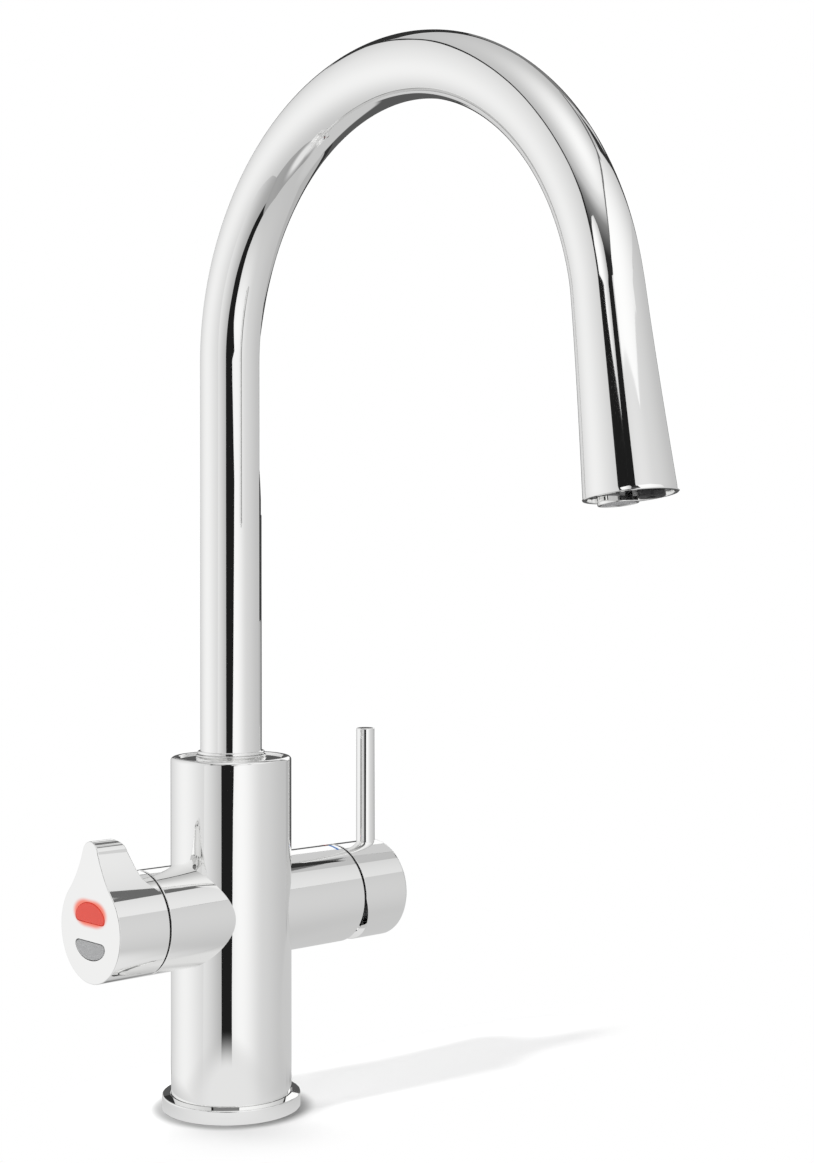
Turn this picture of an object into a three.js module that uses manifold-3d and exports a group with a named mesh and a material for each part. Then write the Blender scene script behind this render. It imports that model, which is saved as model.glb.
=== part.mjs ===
// Boiling water tap in millimetres, +Z up. The origin is the centre of the foot on the worktop.
// The spout points along -Y, towards the user. The boil lever is on -X and the mixer knob on +X.
import * as THREE from 'three';
import { mergeVertices } from 'three/addons/utils/BufferGeometryUtils.js';
import Module from 'manifold-3d';

// Clearances
const SEAT_GAP = 0.3; // a piece resting on or beside its seat
const TRIM_GAP = 0.15; // trim let into or slipped over a visible surface

// Facets
const BODY_SIDES = 28;
const SPOUT_SIDES = 20;
const INNER_SIDES = 16;
const PORT_SIDES = 10;
const SMALL_SIDES = 8;
const OUTLINE_SEGMENTS = 8;
const BUTTON_SEGMENTS = 4;

// Body casting
const BODY_RADIUS = 25;
const BODY_WALL = 2.4;
const BODY_TOP = 145.6;
const RIM_ROUND = 1.4;
const COLLAR_RIM_WIDTH = 3.4; // body rim left around the collar
const COLLAR_RECESS_DEPTH = 3.6;
const COLLAR_LEDGE_WIDTH = 2.8;
const COLLAR_LIP_THICKNESS = 2.6;

// Foot
const RING_WIDTH = 3.7; // beyond the body
const RING_EDGE_HEIGHT = 5.7;
const RING_CROWN = 0.6;
const RING_LEDGE_DEPTH = 2;
const RING_ROUND = 0.5;
const SEAL_INSET = 2.2; // from the ring's edge
const SEAL_WIDTH = 2;
const SEAL_THICKNESS = 1.4;
const PLATE_THICKNESS = 10.5;
const FOOT_RING_SECTION = 0.9;
const FOOT_RING_DEPTH = 2.7; // below the plate's top
const PORT_INSET = 9.1; // from the body's bore to a port's axis
const PORT_RECESS = 0.4; // from the worktop up to the inlets' sealing faces
const INLET_RADIUS = 4.7;
const INLET_BORE = 2.6;
const INLET_FLANGE_RADIUS = 5.4;
const INLET_FLANGE_THICKNESS = 1.5;
const INLET_NECK_HEIGHT = 2.7;
const RISER_RADIUS = 3;
const RISER_BORE = 2;
const RISER_SEAT = 8;
const STUD_INSET = 8.1; // from the body's bore to a stud's axis
const STUD_SOCKET_RADIUS = 4.4;
const STUD_THREAD_RADIUS = 3.4;
const STUD_THREAD_DEPTH = 8.8;
const GROMMET_BORE = 2.2;

// Cross arms
const CROSS_HEIGHT = 82;
const ARM_RADIUS = 21;
const ARM_WALL = 1.8;
const REBATE_DEPTH = 0.5;
const REBATE_WALL = 0.7;

// Manifold
const MANIFOLD_HALF_HEIGHT = 24;
const MANIFOLD_FLAT_DEPTH = 2.3; // how far each side flat is cut in
const CHANNEL_RADIUS = 2;
const CHANNEL_RISE = 8; // from the cross axis to the side ports
const MIXED_CHANNEL_OFFSET = 9;
const NECK_WALL = 2.5;
const NECK_FLOOR_DEPTH = 3.8; // from the lower seal down to the neck's floor
const BOILING_SOCKET_DEPTH = 11.7;

// Swivel
const SWIVEL_SECTION = 1.7; // radial room for the seals and the bush
const SEAL_SECTION = 0.85;
const SEAL_PITCH = 3.5;
const SEAL_TO_STOP = 4.4;
const STOP_TO_CLIP = 3.1;
const STOP_SCREW_RADIUS = 1.6;
const STOP_SLOT_DEPTH = 1.8;
const STOP_SCREW_REACH = 1.4;
const SWIVEL_TRAVEL = 90; // degrees each way
const SLOT_MARGIN = 9; // degrees past the stop at each end
const CLIP_THICKNESS = 0.9;
const CLIP_GROOVE_DEPTH = 0.7;
const CLIP_RADIAL_WIDTH = 2.1;
const BUSH_FLANGE_THICKNESS = 1.8;
const COLLAR_SPIGOT_DEPTH = 1.4;
const COLLAR_PLATE_THICKNESS = 2.6;
const COLLAR_NECK_WALL = 1.5;
const COLLAR_NECK_RISE = 1.6;
const TRIM_RING_HEIGHT = 1.2;
const TRIM_RING_WIDTH = 1;
const EDGE_BREAK = 0.3;

// Spout
const SPOUT_RADIUS = 12.7;
const SPOUT_WALL = 1.5;
const SPOUT_FOOT_BORE = 7.5;
const SPOUT_ENGAGEMENT = 12.2; // depth of the tube in the neck
const SPOUT_SPIGOT = 8;
const SPOUT_RISE = 162.9; // straight length above the body
const FIRST_BEND_RADIUS = 101.8;
const FIRST_BEND_ANGLE = 116.7;
const SECOND_BEND_RADIUS = 111.3;
const SECOND_BEND_ANGLE = 55.2;
const TAIL_LENGTH = 68.7;
const FLARE_LENGTH = 75;
const FLARE_POWER = 1.3;
const BEND_STEP = 10; // degrees between the spout's sections
const FLARE_STEPS = 5;

// Boiling tube inside the spout
const BOILING_RADIUS = 3;
const BOILING_BORE = 2;
const BOILING_STEPS = 24;
const BOILING_SHIFT_START = 66; // from the outlet back to where the tube leaves the centre
const BOILING_SHIFT_END = 22;

// Outlet
const INSERT_RECESS = 1.6;
const INSERT_THICKNESS = 12;
const OUTLET_PROUD = 1.7;
const OUTLET_WEB = 2.9; // between the aerator and the nozzle
const AERATOR_RADIUS = 7;
const AERATOR_RIM = 1.55;
const AERATOR_WALL = 0.7;
const AERATOR_LENGTH = 11.7;
const AERATOR_LEDGE = 2;
const AERATOR_THROAT = 4.5;
const MESH_THICKNESS = 0.6;
const MESH_RECESS = 0.4;
const MESH_HOLE = 1.5;
const MESH_PITCH = 2.2;
const RESTRICTOR_THICKNESS = 2.6;
const RESTRICTOR_HOLE_RADIUS = 0.6;
const RESTRICTOR_HOLE_CIRCLE = 3.6;
const RESTRICTOR_HOLES = 6;
const AERATOR_SEAL_THICKNESS = 1.1;
const NOZZLE_RIM = 0.65;
const NOZZLE_LIP_RADIUS = 4.6;
const NOZZLE_RADIUS = 3.8;
const NOZZLE_BORE = 1.9;
const NOZZLE_LENGTH = 16.2;
const NOZZLE_SOCKET_DEPTH = 7.2;

// Boiling valve in the left arm, distances along -X
const VALVE_FLANGE_THICKNESS = 4;
const VALVE_LENGTH = 13.2;
const VALVE_FLANGE_WIDTH = 3.9;
const VALVE_PASSAGE_DEPTH = 7.7;
const VALVE_PASSAGE_RADIUS = 1.6;
const SPINDLE_RADIUS = 5;
const SPINDLE_DEPTH = 5; // from the side seat to the spindle's inner end
const SPINDLE_SQUARE = 7;
const SPINDLE_SQUARE_LENGTH = 8.1;
const LEVER_TRAVEL = 45; // degrees
const SPRING_TURNS = 2;
const SPRING_ROOM = 6.3;
const SPRING_SPARE = 0.5;
const SPRING_RADIUS = 8.6;
const SPRING_WIRE = 0.7;
const BEARING_LENGTH = 4.6;
const GASKET_THICKNESS = 0.7;
const GASKET_WIDTH = 2.2;

// Boil lever
const LEVER_LENGTH = 23.3;
const LEVER_TIP_RADIUS = 5.5;
const LEVER_TIP_RISE = 29.4; // from the cross axis to the tip's centre
const LEVER_BLEND_RADIUS = 48;
const LEVER_EDGE = 0.4;
const LEVER_FACE_WALL = 3.2;
const LEVER_WALL = 3.2;
const FINGER_TOP_LENGTH = 12.6;
const FINGER_BACK_ROUND = 2.4;
const HUB_SHAFT_RADIUS = 10;
const HUB_INSET = 1.3; // from the lever's open end to the hub's disc
const HUB_SOCKET_LAND = 0.9;
const HUB_DISC_THICKNESS = 4.5;
const HUB_RIM_WIDTH = 2.6;
const SCREW_RADIUS = 2;
const SCREW_HEAD_RADIUS = 4;
const SCREW_HEAD_THICKNESS = 1.6;
const SCREW_REACH = 5.1;
const SCREW_SOCKET_RADIUS = 1.7;
const SCREW_SOCKET_DEPTH = 1;
const BOARD_THICKNESS = 1.5;
const BUTTON_HALF_WIDTH = 10.5;
const BUTTON_FLAT = 2.9; // from the cross axis to the button's straight edge
const BUTTON_SHOULDER = 4.7; // from the cross axis to the button's widest line
const BUTTON_CROWN = 11; // from the cross axis to the top of the button's arc
const BUTTON_PROUD = 0.2;
const BUTTON_FLANGE = 0.8;
const BUTTON_FLANGE_THICKNESS = 1.5;
const BUTTON_STEM_RADIUS = 2.6;
const BUTTON_STEM_LENGTH = 2.3;
const BUTTON_TRAVEL = 0.6;
const DOME_BASE_RADIUS = 3;
const DOME_TOP_RADIUS = 1.8;
const DOME_HEIGHT = 2.5;
const LAMP_SIZE = 2.4;
const LAMP_THICKNESS = 1.2;
const LAMP_OFFSET = 5.6;

// Mixer cartridge in the right arm, distances along +X
const CARTRIDGE_FLANGE_THICKNESS = 3.2;
const CARTRIDGE_FLANGE_WIDTH = 1.6;
const CARTRIDGE_WALL = 2.1;
const CARTRIDGE_FLOOR_DEPTH = 7;
const CARTRIDGE_INSET = 11.6; // from the arm's end to the cartridge's rim
const DISC_THICKNESS = 2.8;
const DISC_PLAY = 3.2; // room for the moving disc to slide
const PORT_RADIUS = 2.2;
const POCKET_RADIUS = 6.5;
const POCKET_DEPTH = 1.5;
const CARRIER_THICKNESS = 3.6;
const CARRIER_SOCKET_RADIUS = 3.2;
const TURRET_FLANGE_THICKNESS = 6;
const TURRET_NECK_LENGTH = 7.5;
const TURRET_SLOT_HALF_HEIGHT = 5.6;
const PIVOT_OFFSET = 2; // beyond the cartridge's rim
const PIVOT_PIN_RADIUS = 1.5;
const PIVOT_PIN_HALF_LENGTH = 10.4;
const FLOW_TRAVEL = 15; // degrees
const STEM_SQUARE = 7;
const STEM_SQUARE_OFFSET = 6; // from the pivot back to the square
const STEM_LAND = 2.9; // from the stem's end to the knob's face
const STEM_NECK_RADIUS = 2.2;
const STEM_TIP_RADIUS = 2.4;
const STEM_TIP_INSET = 0.6; // tip's end inside the carrier
const STEM_TIP_LENGTH = 1.8;
const NUT_LENGTH = 4.5;
const NUT_OVERLAP = 3.6; // the nut's cover over the turret's flange
const SHROUD_INSET = 1.4; // from the arm's end to the shroud's face
const SHROUD_SLOPE = 2.2;
const SHROUD_FACE_WIDTH = 3.8;

// Mixer knob and pin lever
const KNOB_GAP = 1; // between the arm's end and the knob
const KNOB_LENGTH = 23.8;
const KNOB_WALL = 2.6;
const KNOB_CAVITY_DEPTH = 9.4;
const KNOB_ROUND = 1.2;
const BEVEL_MARGIN = 1; // degrees of bevel past the knob's tilt
const PIN_INSET = 6.2; // from the knob's face to the pin's axis
const PIN_RADIUS = 4.1;
const PIN_TOP_RADIUS = 4;
const PIN_TOP = 71; // above the cross axis
const PIN_ROUND = 0.7;
const PIN_STUD_RADIUS = 2.5;
const PIN_STUD_START = 12;
const PIN_SPOTFACE_RADIUS = 4.5;
const PIN_SPOTFACE_DEPTH = 0.8;
const GRUB_SOCKET_RADIUS = 1.2;
const GRUB_SOCKET_DEPTH = 3;

// Temperature marks on the right arm
const MARK_INSET = 3.7; // from the arm's end
const MARK_WIDTH = 1.5;
const MARK_DEPTH = 0.5;
const MARK_NEAR_ANGLE = 1.5; // degrees from the top
const MARK_FAR_ANGLE = 19;

// Worked-out sizes: foot and body
const BODY_BORE = BODY_RADIUS - BODY_WALL;
const FIT_RADIUS = BODY_BORE - SEAT_GAP;
const RING_RADIUS = BODY_RADIUS + RING_WIDTH;
const RING_LEDGE = RING_EDGE_HEIGHT - RING_LEDGE_DEPTH;
const SEAL_OUTER_RADIUS = RING_RADIUS - SEAL_INSET;
const SEAL_INNER_RADIUS = SEAL_OUTER_RADIUS - SEAL_WIDTH;
const FOOT_RING_HEIGHT = PLATE_THICKNESS - FOOT_RING_DEPTH;
const PORT_CIRCLE = BODY_BORE - PORT_INSET;
const PORT_Y = INLET_FLANGE_RADIUS + SEAT_GAP;
const PORT_X = Math.sqrt(PORT_CIRCLE ** 2 - PORT_Y ** 2);
const STUD_CIRCLE = BODY_BORE - STUD_INSET;
const ARM_BORE = ARM_RADIUS - ARM_WALL;
const ARM_FIT_RADIUS = ARM_BORE - SEAT_GAP;
const MANIFOLD_HALF_WIDTH = FIT_RADIUS - MANIFOLD_FLAT_DEPTH;
const SIDE_SEAT = MANIFOLD_HALF_WIDTH + SEAT_GAP;
const MANIFOLD_BOTTOM = CROSS_HEIGHT - MANIFOLD_HALF_HEIGHT;
const MANIFOLD_TOP = CROSS_HEIGHT + MANIFOLD_HALF_HEIGHT;

// Worked-out sizes: swivel, from the body's top down
const COLLAR_RECESS_RADIUS = BODY_RADIUS - COLLAR_RIM_WIDTH;
const COLLAR_LIP_RADIUS = COLLAR_RECESS_RADIUS - COLLAR_LEDGE_WIDTH;
const RECESS_FLOOR = BODY_TOP - COLLAR_RECESS_DEPTH;
const COLLAR_SEAT = RECESS_FLOOR + SEAT_GAP;
const COLLAR_TOP = COLLAR_SEAT + COLLAR_PLATE_THICKNESS;
const COLLAR_NECK_RADIUS = SPOUT_RADIUS + SEAT_GAP + COLLAR_NECK_WALL;
const COLLAR_NECK_TOP = COLLAR_TOP + COLLAR_NECK_RISE;
const NECK_BORE = SPOUT_RADIUS + 2 * SEAT_GAP + SWIVEL_SECTION;
const NECK_RADIUS = NECK_BORE + NECK_WALL;
const BUSH_FLANGE_RADIUS = NECK_RADIUS - SEAT_GAP;
const NECK_TOP = RECESS_FLOOR - COLLAR_SPIGOT_DEPTH - BUSH_FLANGE_THICKNESS - 2 * SEAT_GAP;
const SPOUT_START = NECK_TOP - SPOUT_ENGAGEMENT;
const RISE_TOP = BODY_TOP + SPOUT_RISE;
const BUSH_BOTTOM = SPOUT_START + 2 * SEAT_GAP;
const CLIP_HEIGHT = SPOUT_START - 2 * SEAT_GAP - CLIP_THICKNESS;
const STOP_HEIGHT = CLIP_HEIGHT - STOP_TO_CLIP;
const SEAL_CENTRE_RADIUS = SPOUT_RADIUS + SEAT_GAP + SEAL_SECTION;
const UPPER_SEAL_HEIGHT = STOP_HEIGHT - SEAL_TO_STOP;
const LOWER_SEAL_HEIGHT = UPPER_SEAL_HEIGHT - SEAL_PITCH;
const NECK_FLOOR = LOWER_SEAL_HEIGHT - NECK_FLOOR_DEPTH;

// Worked-out sizes: outlet, as wide as the aerator and the nozzle side by side
const INSERT_WIDTH = AERATOR_RIM + 2 * AERATOR_RADIUS + OUTLET_WEB + 2 * NOZZLE_LIP_RADIUS + NOZZLE_RIM;
const INSERT_RADIUS = INSERT_WIDTH / 2;
const OUTLET_RADIUS = INSERT_RADIUS + SPOUT_WALL + SEAT_GAP + TRIM_GAP;
const AERATOR_OFFSET = AERATOR_RIM + AERATOR_RADIUS - INSERT_RADIUS;
const NOZZLE_OFFSET = INSERT_RADIUS - NOZZLE_RIM - NOZZLE_LIP_RADIUS;

// Worked-out sizes: boil side, from the manifold out
const VALVE_END = SIDE_SEAT + VALVE_LENGTH;
const VALVE_RADIUS = ARM_FIT_RADIUS - VALVE_FLANGE_WIDTH;
const VALVE_PASSAGE = SIDE_SEAT + VALVE_PASSAGE_DEPTH;
const BEARING_START = VALVE_END + SPRING_ROOM;
const BOIL_ARM_END = BEARING_START + BEARING_LENGTH + REBATE_DEPTH;
const LEVER_START = BOIL_ARM_END - REBATE_DEPTH + 2 * SEAT_GAP + GASKET_THICKNESS;
const LEVER_FACE = LEVER_START + LEVER_LENGTH;
const LEVER_WALL_INSIDE = LEVER_FACE - LEVER_FACE_WALL;
const LEVER_CAVITY_RADIUS = ARM_RADIUS - LEVER_WALL;
const HUB_START = BEARING_START + SEAT_GAP;
const HUB_DISC_START = LEVER_START + HUB_INSET;
const SPINDLE_START = SIDE_SEAT + SPINDLE_DEPTH;
const SPINDLE_END = HUB_DISC_START - HUB_SOCKET_LAND;
const SPINDLE_SQUARE_START = SPINDLE_END - SPINDLE_SQUARE_LENGTH;
const BUTTON_BACK = LEVER_WALL_INSIDE - SEAT_GAP - BUTTON_FLANGE_THICKNESS - BUTTON_STEM_LENGTH;
const BUTTON_CENTRE = (BUTTON_FLAT + BUTTON_CROWN) / 2;
const DOME_TIP = BUTTON_BACK - BUTTON_TRAVEL - SEAT_GAP;
const DOME_BASE = DOME_TIP - DOME_HEIGHT;
const BOARD_SEAT = DOME_BASE - SEAT_GAP - BOARD_THICKNESS;
const HUB_RIM_HEIGHT = BOARD_SEAT - SEAT_GAP - HUB_DISC_START - HUB_DISC_THICKNESS;

// Worked-out sizes: mixer side, from the manifold out
const CARTRIDGE_RADIUS = ARM_FIT_RADIUS - CARTRIDGE_FLANGE_WIDTH;
const CARTRIDGE_CAVITY_RADIUS = CARTRIDGE_RADIUS - CARTRIDGE_WALL;
const MOVING_DISC_RADIUS = CARTRIDGE_CAVITY_RADIUS - DISC_PLAY;
const CARTRIDGE_FLOOR = SIDE_SEAT + CARTRIDGE_FLOOR_DEPTH;
const FIXED_DISC_START = CARTRIDGE_FLOOR + SEAT_GAP;
const MOVING_DISC_START = FIXED_DISC_START + DISC_THICKNESS + SEAT_GAP;
const CARRIER_START = MOVING_DISC_START + DISC_THICKNESS + SEAT_GAP;
const TURRET_START = CARRIER_START + CARRIER_THICKNESS + SEAT_GAP;
const TURRET_SHOULDER = TURRET_START + TURRET_FLANGE_THICKNESS;
const CARTRIDGE_END = TURRET_SHOULDER + SEAT_GAP;
const MIXER_ARM_END = CARTRIDGE_END + CARTRIDGE_INSET;
const TURRET_END = CARTRIDGE_END + TURRET_NECK_LENGTH;
const NUT_START = CARTRIDGE_END + SEAT_GAP;
const NUT_BORE = CARTRIDGE_CAVITY_RADIUS - NUT_OVERLAP;
const TURRET_NECK_RADIUS = NUT_BORE - 2 * SEAT_GAP;
const SHROUD_BORE = NUT_BORE + 2 * SEAT_GAP;
const PIVOT_DISTANCE = CARTRIDGE_END + PIVOT_OFFSET;
const KNOB_START = MIXER_ARM_END + KNOB_GAP;
const KNOB_END = KNOB_START + KNOB_LENGTH;
const STEM_TIP_START = CARRIER_START + STEM_TIP_INSET;
const STEM_SQUARE_START = PIVOT_DISTANCE - STEM_SQUARE_OFFSET;
const STEM_END = KNOB_END - STEM_LAND;
const PIN_DISTANCE = KNOB_END - PIN_INSET;
const PIN_SPOTFACE_HEIGHT = ARM_RADIUS - PIN_SPOTFACE_DEPTH;
const MARK_START = MIXER_ARM_END - MARK_INSET;

const wasm = await Module();
wasm.setup();
const radians = THREE.MathUtils.degToRad;

// Shapes and booleans

function signedVolume(geometry) {
  const position = geometry.getAttribute('position');
  const index = geometry.getIndex();
  const corners = [0, 1, 2].map(() => new THREE.Vector3());
  let volume = 0;
  for (let i = 0; i < index.count; i += 3) {
    corners.forEach((corner, k) => corner.fromBufferAttribute(position, index.getX(i + k)));
    volume += corners[0].dot(corners[1].clone().cross(corners[2])) / 6;
  }
  return volume;
}

// One closed surface: shared vertices merged, empty triangles dropped, faces turned out.
function closed(geometry) {
  geometry.deleteAttribute('normal');
  geometry.deleteAttribute('uv');
  const merged = mergeVertices(geometry, 1e-4);
  const source = Array.from(merged.getIndex().array);
  const kept = [];
  for (let i = 0; i < source.length; i += 3) {
    const [a, b, c] = source.slice(i, i + 3);
    if (a !== b && b !== c && c !== a) kept.push(a, b, c);
  }
  merged.setIndex(kept);
  if (signedVolume(merged) < 0) merged.setIndex(kept.reverse());
  return merged;
}

function toSolid(geometry) {
  const shell = closed(geometry);
  const vertProperties = new Float32Array(shell.getAttribute('position').array);
  const triVerts = new Uint32Array(shell.getIndex().array);
  return new wasm.Manifold(new wasm.Mesh({ numProp: 3, vertProperties, triVerts }));
}

function toGeometry(solid) {
  const mesh = solid.getMesh();
  const geometry = new THREE.BufferGeometry();
  geometry.setAttribute('position', new THREE.BufferAttribute(mesh.vertProperties, 3));
  geometry.setIndex(new THREE.BufferAttribute(mesh.triVerts, 1));
  return geometry;
}

function cut(geometry, tools) {
  return toGeometry(tools.reduce((solid, tool) => solid.subtract(toSolid(tool)), toSolid(geometry)));
}

function join(geometries) {
  return toGeometry(geometries.map(toSolid).reduce((whole, solid) => whole.add(solid)));
}

function common(first, second) {
  return toGeometry(toSolid(first).intersect(toSolid(second)));
}

// A profile of [radius, height] points turned about Z.
function revolve(profile, sides = INNER_SIDES) {
  const points = profile.map(([radius, height]) => new THREE.Vector2(radius, height));
  const onAxis = profile[0][0] === 0 && profile[profile.length - 1][0] === 0;
  if (!onAxis) points.push(points[0].clone());
  return closed(new THREE.LatheGeometry(points, sides).rotateX(Math.PI / 2));
}

function rod(radius, from, to, sides = INNER_SIDES) {
  return revolve([[0, from], [radius, from], [radius, to], [0, to]], sides);
}

function pipe(bore, radius, from, to, sides = INNER_SIDES) {
  return revolve([[bore, from], [radius, from], [radius, to], [bore, to]], sides);
}

function ringSeal(centreRadius, section, height) {
  const profile = [];
  for (let i = 0; i < 6; i += 1) {
    const angle = (i * Math.PI) / 3;
    profile.push([centreRadius + section * Math.cos(angle), height + section * Math.sin(angle)]);
  }
  return revolve(profile);
}

function prism(shape, from, to, curveSegments = BUTTON_SEGMENTS) {
  const geometry = new THREE.ExtrudeGeometry(shape, { depth: to - from, bevelEnabled: false, curveSegments });
  return closed(geometry.translate(0, 0, from));
}

function block(width, depth, height, x = 0, y = 0, z = 0) {
  return new THREE.BoxGeometry(width, depth, height).translate(x, y, z);
}

// Turns Z to X, X to Y and Y to Z, for pieces that lie along the cross axis.
function alongX(geometry) {
  const basis = new THREE.Matrix4().makeBasis(
    new THREE.Vector3(0, 1, 0),
    new THREE.Vector3(0, 0, 1),
    new THREE.Vector3(1, 0, 0),
  );
  return geometry.applyMatrix4(basis);
}

// A round hole or rod along X, through (y, z).
function rodAlongX(radius, from, to, y = 0, z = 0, sides = SMALL_SIDES) {
  return alongX(rod(radius, from, to, sides)).translate(0, y, z);
}

function ringSector(inner, outer, fromAngle, toAngle) {
  const shape = new THREE.Shape();
  shape.absarc(0, 0, outer, radians(fromAngle), radians(toAngle), false);
  shape.absarc(0, 0, inner, radians(toAngle), radians(fromAngle), true);
  return shape;
}

// Materials

const finish = (color, roughness, metalness) => new THREE.MeshStandardMaterial({ color, roughness, metalness });
const chrome = () => finish(0xd6d8da, 0.06, 1);
const brass = () => finish(0xb8954a, 0.35, 1);
const copper = () => finish(0xb5714a, 0.35, 1);
const steel = () => finish(0xa9abad, 0.3, 1);
const darkMetal = () => finish(0x4a4b4d, 0.35, 1);
const rubber = () => finish(0x161616, 0.8, 0);
const blackPlastic = () => finish(0x121212, 0.4, 0);
const whitePlastic = () => finish(0xe6e4de, 0.5, 0);
const ceramic = () => finish(0xf2efe8, 0.25, 0);
const silicone = () => finish(0xcfd3d4, 0.7, 0);
const boardGreen = () => finish(0x1f5b3a, 0.6, 0);
const lampRed = () => finish(0xff3b25, 0.4, 0);
const buttonRed = () => finish(0xf0523c, 0.4, 0);
const buttonGrey = () => finish(0xb4b6b7, 0.45, 0.2);
const markBlue = () => finish(0x1f4fa8, 0.4, 0);
const markRed = () => finish(0xc02a22, 0.4, 0);

function place(group, name, geometry, material) {
  const mesh = new THREE.Mesh(geometry, material);
  mesh.name = name;
  group.add(mesh);
  return mesh;
}

// Foot

function baseRing() {
  const foot = BODY_RADIUS + SEAT_GAP;
  const profile = [
    [BODY_BORE, 0],
    [SEAL_INNER_RADIUS - SEAT_GAP, 0],
    [SEAL_INNER_RADIUS - SEAT_GAP, SEAL_THICKNESS + SEAT_GAP],
    [SEAL_OUTER_RADIUS + SEAT_GAP, SEAL_THICKNESS + SEAT_GAP],
    [SEAL_OUTER_RADIUS + SEAT_GAP, 0],
    [RING_RADIUS, 0],
    [RING_RADIUS, RING_EDGE_HEIGHT - RING_ROUND],
    [RING_RADIUS - RING_ROUND, RING_EDGE_HEIGHT],
    [foot, RING_EDGE_HEIGHT + RING_CROWN],
    [foot, RING_LEDGE],
    [BODY_BORE, RING_LEDGE],
  ];
  return revolve(profile, BODY_SIDES);
}

function portPlaces() {
  return { hot: [-PORT_X, PORT_Y], cold: [PORT_X, PORT_Y], boiling: [-PORT_X, -PORT_Y], cable: [PORT_X, -PORT_Y] };
}

function basePlate() {
  const grooveRadius = FIT_RADIUS - 2 * FOOT_RING_SECTION - SEAT_GAP / 2;
  const halfGroove = FOOT_RING_SECTION + SEAT_GAP;
  const plate = revolve([
    [0, 0],
    [FIT_RADIUS, 0],
    [FIT_RADIUS, FOOT_RING_HEIGHT - halfGroove],
    [grooveRadius, FOOT_RING_HEIGHT - halfGroove],
    [grooveRadius, FOOT_RING_HEIGHT + halfGroove],
    [FIT_RADIUS, FOOT_RING_HEIGHT + halfGroove],
    [FIT_RADIUS, PLATE_THICKNESS],
    [0, PLATE_THICKNESS],
  ]);
  const hole = (radius, x, y) => rod(radius + SEAT_GAP, -1, PLATE_THICKNESS + 1, PORT_SIDES).translate(x, y, 0);
  const holes = Object.values(portPlaces()).map(([x, y]) => hole(INLET_RADIUS, x, y));
  const studHoles = [STUD_CIRCLE, -STUD_CIRCLE].map((y) => hole(STUD_SOCKET_RADIUS, 0, y));
  return cut(plate, [...holes, ...studHoles]);
}

function inlet() {
  const flangeBottom = PLATE_THICKNESS + SEAT_GAP;
  const flangeTop = flangeBottom + INLET_FLANGE_THICKNESS;
  const top = flangeTop + INLET_NECK_HEIGHT;
  const socket = RISER_RADIUS + SEAT_GAP;
  return revolve([
    [INLET_BORE, PORT_RECESS],
    [INLET_RADIUS, PORT_RECESS],
    [INLET_RADIUS, flangeBottom],
    [INLET_FLANGE_RADIUS, flangeBottom],
    [INLET_FLANGE_RADIUS, flangeTop],
    [INLET_RADIUS - SEAT_GAP, flangeTop],
    [INLET_RADIUS - SEAT_GAP, top],
    [socket, top],
    [socket, RISER_SEAT],
    [INLET_BORE, RISER_SEAT],
  ], PORT_SIDES);
}

function cableGrommet() {
  const flangeBottom = PLATE_THICKNESS + SEAT_GAP;
  const flangeTop = flangeBottom + INLET_FLANGE_THICKNESS;
  return revolve([
    [GROMMET_BORE, PORT_RECESS],
    [INLET_RADIUS, PORT_RECESS],
    [INLET_RADIUS, flangeBottom],
    [INLET_FLANGE_RADIUS, flangeBottom],
    [INLET_FLANGE_RADIUS, flangeTop],
    [GROMMET_BORE, flangeTop],
  ], PORT_SIDES);
}

function studSocket() {
  const flangeBottom = PLATE_THICKNESS + SEAT_GAP;
  const flangeTop = flangeBottom + INLET_FLANGE_THICKNESS;
  return revolve([
    [0, PORT_RECESS + STUD_THREAD_DEPTH],
    [STUD_THREAD_RADIUS, PORT_RECESS + STUD_THREAD_DEPTH],
    [STUD_THREAD_RADIUS, PORT_RECESS],
    [STUD_SOCKET_RADIUS, PORT_RECESS],
    [STUD_SOCKET_RADIUS, flangeBottom],
    [INLET_FLANGE_RADIUS, flangeBottom],
    [INLET_FLANGE_RADIUS, flangeTop],
    [0, flangeTop],
  ], PORT_SIDES);
}

function riser() {
  const top = MANIFOLD_BOTTOM + RISER_SEAT - SEAT_GAP;
  return pipe(RISER_BORE, RISER_RADIUS, RISER_SEAT + SEAT_GAP, top, SMALL_SIDES);
}

// Body

function collarRecess() {
  return revolve([
    [0, RECESS_FLOOR],
    [COLLAR_RECESS_RADIUS, RECESS_FLOOR],
    [COLLAR_RECESS_RADIUS, BODY_TOP - RIM_ROUND / 2],
    [COLLAR_RECESS_RADIUS + RIM_ROUND / 2, BODY_TOP + EDGE_BREAK],
    [0, BODY_TOP + EDGE_BREAK],
  ], BODY_SIDES);
}

function markGroove(fromAngle, toAngle) {
  const margin = radians(1) * TRIM_GAP * 20;
  const shape = ringSector(
    ARM_RADIUS - MARK_DEPTH - TRIM_GAP,
    ARM_RADIUS + 1,
    fromAngle - margin,
    toAngle + margin,
  );
  return alongX(prism(shape, MARK_START - TRIM_GAP, MARK_START + MARK_WIDTH + TRIM_GAP));
}

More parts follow.
